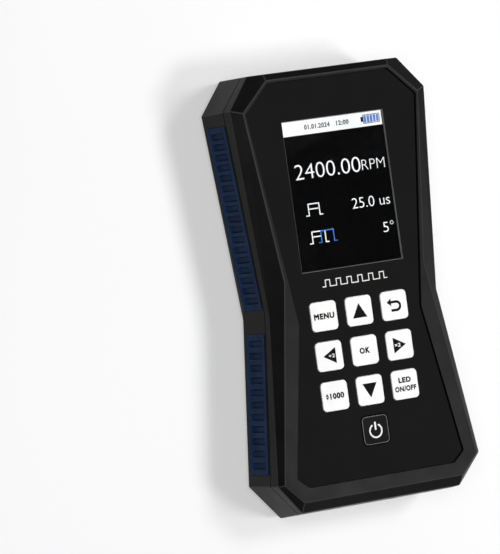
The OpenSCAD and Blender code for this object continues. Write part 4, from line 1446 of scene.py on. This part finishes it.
@dataclass
class Keypad:
    """The ten keys with their legends.

    The legends' places and sizes are in millimetres from the middle of the key.

    Attributes:
        edge: Width of the rounding round a key's face, in metres.
        ink: Thickness of a legend, in metres.
        bold: How much the strokes of the dark letters grow, in ems.
        thin: How much those of the white numbers grow.
    """

    edge: float = 0.3 * MM
    ink: float = 0.015 * MM
    bold: float = 0.055
    thin: float = 0.025

    def build(self) -> None:
        """Builds and dresses every key and prints its legend."""
        for sign in Sign:
            node, body, black = f"key_{sign.value}", f"{sign.value}_key", sign is Sign.POWER
            low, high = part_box(node)
            cap = Bench.copy_node(node, f"{sign.value}_cap")
            Bench.soften(cap, lambda e, top=high.z - NEAR: all(v.co.z > top for v in e.verts), self.edge, 3)
            Bench.shade(cap)
            Bench.dress(cap, Finishes.KEY_BLACK if black else Finishes.KEY_WHITE)
            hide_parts(node)
            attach(cap, body)
            Bench.report(cap)
            self.printer = Printer(high.z, self.ink, ((low.x + high.x) / 2, (low.y + high.y) / 2))
            legend = Bench.join(self._legend(sign), f"{sign.value}_legend")
            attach(legend, body)
            Bench.report(legend)

    def _legend(self, sign: Sign) -> list[Piece]:
        """Prints what a key shows.

        Args:
            sign: What it shows.

        Returns:
            The printed parts.
        """
        match sign:
            case Sign.MENU:
                return [self._text("MENU", 8.7, 2.3)]
            case Sign.OK:
                return [self._text("OK", 4.5, 2.3)]
            case Sign.LAMP:
                return [self._text("LED", 5.4, 2.1, 0.0, 1.75), self._text("ON/OFF", 9.2, 2.1, 0.0, -1.6)]
            case Sign.UP | Sign.DOWN:
                way = 1 if sign is Sign.UP else -1
                return [self._ink([(-3.1 * way, -2.7 * way), (3.1 * way, -2.7 * way), (0.0, 2.9 * way)])]
            case Sign.LEFT:
                return self._factor("÷2", -1)
            case Sign.RIGHT:
                return self._factor("×2", 1)
            case Sign.BACK:
                return self._back()
            case Sign.THOUSAND:
                up = [(-4.05, 0.12), (-2.65, 0.12), (-3.35, 1.2)]
                down = [(-4.05, -0.12), (-3.35, -1.2), (-2.65, -0.12)]
                return [self._ink(up), self._ink(down), self._text("1000", 6.0, 2.3, 0.85)]
            case Sign.POWER:
                return self._power()

    def _ink(self, *outlines: Outline, finish: Finishes = Finishes.INK_BLACK) -> Piece:
        """A printed shape."""
        return self.printer.shape(finish, *outlines)

    def _text(self, text: str, width: float, height: float, x: float = 0.0, y: float = 0.0) -> Piece:
        """A dark word that is centred at a place."""
        low, high = (x - width / 2, y - height / 2), (x + width / 2, y + height / 2)
        return self.printer.word(text, low, high, Finishes.INK_BLACK, self.bold)

    def _factor(self, text: str, way: int) -> list[Piece]:
        """A triangle that points left or right, with a white number on it.

        Args:
            text: The number.
            way: One for a triangle that points right, minus one for left.

        Returns:
            The printed parts.
        """
        triangle = self._ink([(2.7 * way, 0.0), (-2.7 * way, 3.05 * way), (-2.7 * way, -3.05 * way)])
        width, height, x = 2.6, 1.5, -0.9 * way
        low, high = (x - width / 2, -height / 2), (x + width / 2, height / 2)
        return [triangle, self.printer.above().word(text, low, high, Finishes.INK_WHITE, self.thin)]

    def _back(self) -> list[Piece]:
        """An arrow that turns back.

        Returns:
            The printed parts.
        """
        bend = arc((0.9, -0.35), 1.6, 90, -90, 16)
        shaft = ribbon([(-1.4, 1.25), *bend, (-1.5, -1.95)], 0.98)
        head = [(-3.1, 1.25), (-1.3, 2.75), (-1.3, -0.25)]
        return [self._ink(shaft), self._ink(head)]

    def _power(self) -> list[Piece]:
        """The sign for standby, inside a thin line round the key.

        Returns:
            The printed parts.
        """
        gap = 28.0
        ring = arc((0.0, -0.35), 2.55, 90 + gap, 450 - gap, 40)
        stem = [(0.0, 0.0), (0.0, 3.1)]
        return [
            self._ink(rounded_square(10.7, 1.6), rounded_square(10.4, 1.45), finish=Finishes.INK_GREY),
            self._ink(ribbon(ring, 0.62), finish=Finishes.INK_WHITE),
            self._ink(ribbon(stem, 0.75), finish=Finishes.INK_WHITE),
        ]


@dataclass
class FlashHead:
    """The three lit lenses in the nose.

    Attributes:
        flats: Width of a lens's body across its flats.
        flange: Width of the flange beyond the body.
        flange_t: Thickness of the flange.
        border: Width of the sloping border of a lens's face.
        border_h: Height of that slope.
        edge: Width of the rounding on the border.
        optic_r: Radius of the round optic.
        optic_in: How deep the optic reaches into the body.
        dome_h: Height of the optic's dome.
        dome_steps: Number of rings in the dome.
        groove: Radius of the groove round the optic, across the groove.
        groove_up: How far above the face the groove's middle lies.
        pitch: Distance between the lenses.
        round_steps: Number of steps round the optic.
    """

    flats: float = 13.2 * MM
    flange: float = 0.9 * MM
    flange_t: float = 1.1 * MM
    border: float = 0.8 * MM
    border_h: float = 0.4 * MM
    edge: float = 0.12 * MM
    optic_r: float = 5.2 * MM
    optic_in: float = 0.6 * MM
    dome_h: float = 0.32 * MM
    dome_steps: int = 8
    groove: float = 0.22 * MM
    groove_up: float = 0.02 * MM
    pitch: float = 15.6 * MM
    round_steps: int = 64

    def build(self) -> None:
        """Builds and dresses the lenses."""
        for i, side in enumerate(("left", "middle", "right")):
            piece = Bench.name(self._lens((i - 1) * self.pitch), f"flash_lens_{side}")
            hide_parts("led_lenses")
            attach(piece, "case")
            Bench.report(piece)

    def _lens(self, x: float) -> Piece:
        """One lens with its flange, sloping border, groove and dome.

        Args:
            x: Where its axis lies.

        Returns:
            The lens.
        """
        low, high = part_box("led_lenses")
        face_y, z = high.y, (low.z + high.z) / 2
        radius = (self.flats / 2 + self.flange) * 2 / math.sqrt(3)
        slope_y = face_y - self.border_h
        forwards = (math.pi / 2, 0.0, 0.0)
        Bench.pick()
        bpy.ops.mesh.primitive_cylinder_add(
            vertices=6, radius=radius, depth=self.flange_t,
            location=(x, low.y + self.flange_t / 2, z), rotation=forwards)
        body = Bench.settle(bpy.context.object)
        Bench.edit(body)
        Bench.choose(body, Part.FACE, lambda f: f.normal.y > 0.9)
        bpy.ops.mesh.inset(thickness=self.flange)
        rise = slope_y - (low.y + self.flange_t)
        bpy.ops.mesh.extrude_region_move(TRANSFORM_OT_translate={"value": (0.0, rise, 0.0)})
        bpy.ops.mesh.inset(thickness=self.border, depth=self.border_h)
        Bench.close()
        Bench.soften(body, lambda e: min(v.co.y for v in e.verts) > slope_y - NEAR, self.edge)
        dome = self._dome(x, face_y, z)
        Bench.apply(body, "BOOLEAN", operation="UNION", solver="EXACT", object=dome)
        Bench.pick()
        bpy.ops.mesh.primitive_torus_add(
            major_segments=self.round_steps, minor_segments=12, major_radius=self.optic_r,
            minor_radius=self.groove, location=(x, face_y + self.groove_up, z), rotation=forwards)
        ring = Bench.settle(bpy.context.object)
        Bench.apply(body, "BOOLEAN", operation="DIFFERENCE", solver="EXACT", object=ring)
        for spare in (dome, ring):
            bpy.data.objects.remove(spare)
        Bench.shade(body, 25.0)
        Bench.dress(body, Finishes.LENS)
        return body

    def _dome(self, x: float, face_y: float, z: float) -> Piece:
        """The round dome of the optic, raised ring by ring.

        Args:
            x: Where its axis lies.
            face_y: Where its rim meets the lens's face.
            z: Height of its axis.

        Returns:
            The dome.
        """
        Bench.pick()
        bpy.ops.mesh.primitive_cylinder_add(
            vertices=self.round_steps, radius=self.optic_r, depth=self.optic_in,
            location=(x, face_y - self.optic_in / 2, z), rotation=(math.pi / 2, 0.0, 0.0))
        dome = Bench.settle(bpy.context.object)
        Bench.edit(dome)
        Bench.choose(dome, Part.FACE, lambda f: f.normal.y > 0.9)
        steps = self.dome_steps
        heights = [self.dome_h * (1 - (1 - i / steps) ** 2) for i in range(steps)]
        for before, after in zip(heights, heights[1:]):
            bpy.ops.mesh.inset(thickness=self.optic_r / steps, depth=after - before)
        Bench.close()
        return dome


@dataclass
class TripodMount:
    """The threaded brass insert in the back.

    Attributes:
        bore_r: Radius of the thread's crests.
        root_r: Radius of its roots.
        pitch: Distance between its turns.
        mouth: Width of the countersink at the mouth.
        steps: Number of steps round the insert.
    """

    bore_r: float = 2.6 * MM
    root_r: float = 3.1 * MM
    pitch: float = 1.27 * MM
    mouth: float = 0.6 * MM
    steps: int = 64

    def build(self) -> None:
        """Turns the insert from its profile and dresses it."""
        low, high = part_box("tripod_insert")
        x, y = (low.x + high.x) / 2, (low.y + high.y) / 2
        outer = (high.x - low.x) / 2
        z = low.z + self.mouth
        profile: Outline = [(outer, low.z), (self.bore_r + self.mouth, low.z), (self.bore_r, z)]
        while z + self.pitch < high.z:
            profile += [(self.root_r, z + self.pitch / 2), (self.bore_r, z + self.pitch)]
            z += self.pitch
        profile += [(self.bore_r, high.z), (outer, high.z)]
        count = len(profile)
        mesh = bpy.data.meshes.new("tripod_thread")
        mesh.from_pydata(
            [(x + r, y, h) for r, h in profile], [(i, (i + 1) % count) for i in range(count)], [])
        piece = Bench.new("tripod_thread", mesh)
        Bench.edit(piece)
        bpy.ops.mesh.select_all(action="SELECT")
        bpy.ops.mesh.spin(steps=self.steps, angle=2 * math.pi, center=(x, y, 0.0), axis=(0.0, 0.0, 1.0))
        Bench.close()
        Bench.outwards(piece)
        Bench.shade(piece, 25.0)
        Bench.dress(piece, Finishes.BRASS)
        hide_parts("tripod_insert")
        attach(piece, "case")
        Bench.report(piece)


@dataclass
class Sockets:
    """The contacts inside the charging socket of the end wall.

    Attributes:
        strips: Number of contacts on each face of the socket's tongue.
        pitch: Distance between them.
        strip_w: Width of a contact.
        strip_l: Length of a contact.
        strip_t: Height of a contact above the tongue.
        edge: Width of the chamfer along a contact.
        tongue_t: Thickness of the tongue.
        tongue_in: How deep in the socket the contacts start.
    """

    strips: int = 12
    pitch: float = 0.5 * MM
    strip_w: float = 0.28 * MM
    strip_l: float = 4.2 * MM
    strip_t: float = 0.03 * MM
    edge: float = 0.01 * MM
    tongue_t: float = 0.7 * MM
    tongue_in: float = 0.9 * MM

    def build(self) -> None:
        """Builds one contact, repeats it along the tongue and copies the row below."""
        low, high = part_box("charging_socket")
        x, z = (low.x + high.x) / 2, (low.z + high.z) / 2
        Bench.pick()
        bpy.ops.mesh.primitive_cube_add(size=1.0, location=(0.0, 0.0, 0.0))
        piece = bpy.context.object
        piece.scale = (self.strip_w, self.strip_l, 2 * self.strip_t)
        first = x - (self.strips - 1) * self.pitch / 2
        piece.location = (first, low.y + self.tongue_in + self.strip_l / 2, z + self.tongue_t / 2)
        Bench.settle(piece)
        Bench.soften(piece, lambda e: e.calc_length() > 0.5 * self.strip_l, self.edge, 1)
        Bench.apply(
            piece, "ARRAY", count=self.strips, use_relative_offset=False, use_constant_offset=True,
            constant_offset_displace=(self.pitch, 0.0, 0.0))
        other = Bench.new("contacts_below", piece.data.copy())
        other.data.transform(Matrix.Translation((0.0, 0.0, -self.tongue_t)))
        piece = Bench.join([piece, other], "charging_contacts")
        Bench.dress(piece, Finishes.GOLD)
        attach(piece, "case")
        Bench.report(piece)


class PlainNodes:
    """Dresses the frame's own nodes that stay as they are."""

    FINISHES = {
        "display_window": Finishes.WINDOW,
        "lcd_glass": Finishes.PANEL,
        "lcd_backlight": Finishes.WHITE_FRAME,
        "dome_switches": Finishes.STEEL,
        "main_board": Finishes.BOARD,
        "board_components": Finishes.CHIP,
        "board_screws": Finishes.STEEL,
        "led_board": Finishes.ALLOY,
        "led_emitters": Finishes.PHOSPHOR,
        "led_reflectors": Finishes.MIRROR,
        "led_heat_sink": Finishes.ALLOY,
        "heat_sink_screws": Finishes.STEEL,
        "led_connector": Finishes.WHITE_FRAME,
        "battery_cells": Finishes.CELL,
        "battery_holder": Finishes.CHIP,
        "battery_contacts": Finishes.STEEL,
        "port_board": Finishes.BOARD,
        "port_screws": Finishes.STEEL,
        "charging_socket": Finishes.STEEL,
        "trigger_socket": Finishes.CHIP,
        "case_screws": Finishes.STEEL,
    }

    def build(self) -> None:
        """Puts each node's finish in its slots."""
        for node, finish in self.FINISHES.items():
            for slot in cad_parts[node].material_slots:
                slot.material = finish.material
            LOG.info("%s: %s", node, finish.name)


@dataclass
class Studio:
    """The floor, the lamps and the camera.

    Attributes:
        eye: Place of the camera, in millimetres.
        right: The picture's right in the object's frame.
        down: The picture's downward way.
        forward: The way the camera looks.
        focal_px: Focal length in pixels of the 500 by 554 picture.
        picture_h: Height of that picture, in pixels.
        sensor: Width of the camera's sensor, in millimetres.
        far: How far the camera sees, in metres.
        floor_size: Side of the floor, in metres.
        floor_lift: What the floor's own white adds where it is seen.
        lamps: Name, place, side and power in watts of each softbox, in metres.
        horizon: Colour of the room at the horizon and below.
        ceiling: Colour of the room overhead.
        ceiling_from: How high the overhead colour starts, where one is straight up.
    """

    eye: tuple[float, float, float] = (-731.70, 52.67, 1474.31)
    right: tuple[float, float, float] = (0.8923827, -0.1377760, 0.4297336)
    down: tuple[float, float, float] = (-0.1358384, -0.9901001, -0.0353526)
    forward: tuple[float, float, float] = (0.4303500, -0.0268263, -0.9022634)
    focal_px: float = 4230.47
    picture_h: int = 554
    sensor: float = 36.0
    far: float = 100.0
    floor_size: float = 40.0
    floor_lift: float = 0.4
    lamps: tuple[tuple[str, tuple[float, float, float], float, float], ...] = (
        ("overhead_softbox", (0.46, 0.22, 0.98), 0.25, 4.1),
        ("left_softbox", (-0.55, 0.1, 1.3), 0.5, 6.2),
        ("right_softbox", (0.46, -0.2, 0.95), 0.25, 5.0),
    )
    horizon: Colour = (0.5, 0.5, 0.51, 1.0)
    ceiling: Colour = (0.035, 0.035, 0.037, 1.0)
    ceiling_from: float = 0.6

    def build(self) -> None:
        """Sets up the studio."""
        self._camera()
        self._floor()
        for lamp in self.lamps:
            self._lamp(*lamp)
        self._world()
        bpy.context.scene.view_settings.view_transform = "Standard"

    def _camera(self) -> None:
        """The camera at the photograph's view."""
        data = bpy.data.cameras.new("camera")
        data.sensor_fit = "AUTO"
        data.sensor_width = self.sensor
        data.lens = self.focal_px / self.picture_h * self.sensor
        data.clip_end = self.far
        camera = Bench.new("camera", data)
        columns = [Vector(self.right), -Vector(self.down), -Vector(self.forward)]
        turn = Matrix(columns).transposed().to_4x4()
        camera.matrix_world = Matrix.Translation(Vector(self.eye) * MM) @ turn
        bpy.context.scene.camera = camera

    def _floor(self) -> None:
        """A plain pale floor under the feet, which adds its own white where it is seen."""
        Bench.pick()
        bpy.ops.mesh.primitive_plane_add(size=self.floor_size, location=(0.0, 0.0, 0.0))
        floor = Bench.name(bpy.context.object, "floor")
        made = bpy.data.materials.new("floor_finish")
        made.use_nodes = True
        nodes = Nodes(made.node_tree)
        seen = nodes.add("ShaderNodeLightPath").outputs
        passes = nodes.maths("MAXIMUM", seen["Is Camera Ray"], seen["Is Transmission Ray"])
        passes = nodes.maths("MAXIMUM", passes, seen["Is Glossy Ray"])
        nodes.feed(made.node_tree.nodes["Principled BSDF"], {
            "Base Color": nodes.group(GROUPS.drift, Base=srgb("c8c8c9"), Second=srgb("c5c5c6"), Scale=3.0),
            "Roughness": 0.9,
            "Specular IOR Level": 0.1,
            "Emission Color": WHITE,
            "Emission Strength": nodes.maths("MULTIPLY", passes, self.floor_lift),
        })
        floor.data.materials.append(made)

    @staticmethod
    def _lamp(name: str, place: tuple[float, float, float], size: float, power: float) -> None:
        """A square softbox that looks at the object.

        Args:
            name: The lamp's name.
            place: Its place, in metres.
            size: Its side.
            power: Its power in watts.
        """
        data = bpy.data.lights.new(name, "AREA")
        data.shape = "SQUARE"
        data.size = size
        data.energy = power
        lamp = Bench.new(name, data)
        lamp.location = place
        lamp.rotation_euler = (-Vector(place)).to_track_quat("-Z", "Y").to_euler()

    def _world(self) -> None:
        """A soft grey room, lighter at the horizon than overhead."""
        world = bpy.data.worlds.new("studio")
        bpy.context.scene.world = world
        world.use_nodes = True
        nodes = Nodes(world.node_tree)
        place = nodes.add("ShaderNodeTexCoord").outputs["Generated"]
        height = nodes.add("ShaderNodeSeparateXYZ", {"Vector": place}).outputs["Z"]
        stops = [(0.0, self.horizon), (self.ceiling_from, self.ceiling)]
        nodes.feed(world.node_tree.nodes["Background"], {"Color": nodes.ramp(height, stops)})


def main() -> None:
    """Builds the studio and every sub-assembly in order."""
    logging.basicConfig(level=logging.INFO, format="%(name)s: %(message)s")
    for part in (
        Studio(), Case(), Grips(), Overlay(), Display(), Keypad(), FlashHead(), TripodMount(), Sockets(),
        PlainNodes(),
    ):
        part.build()


if __name__ == "__main__":
    main()
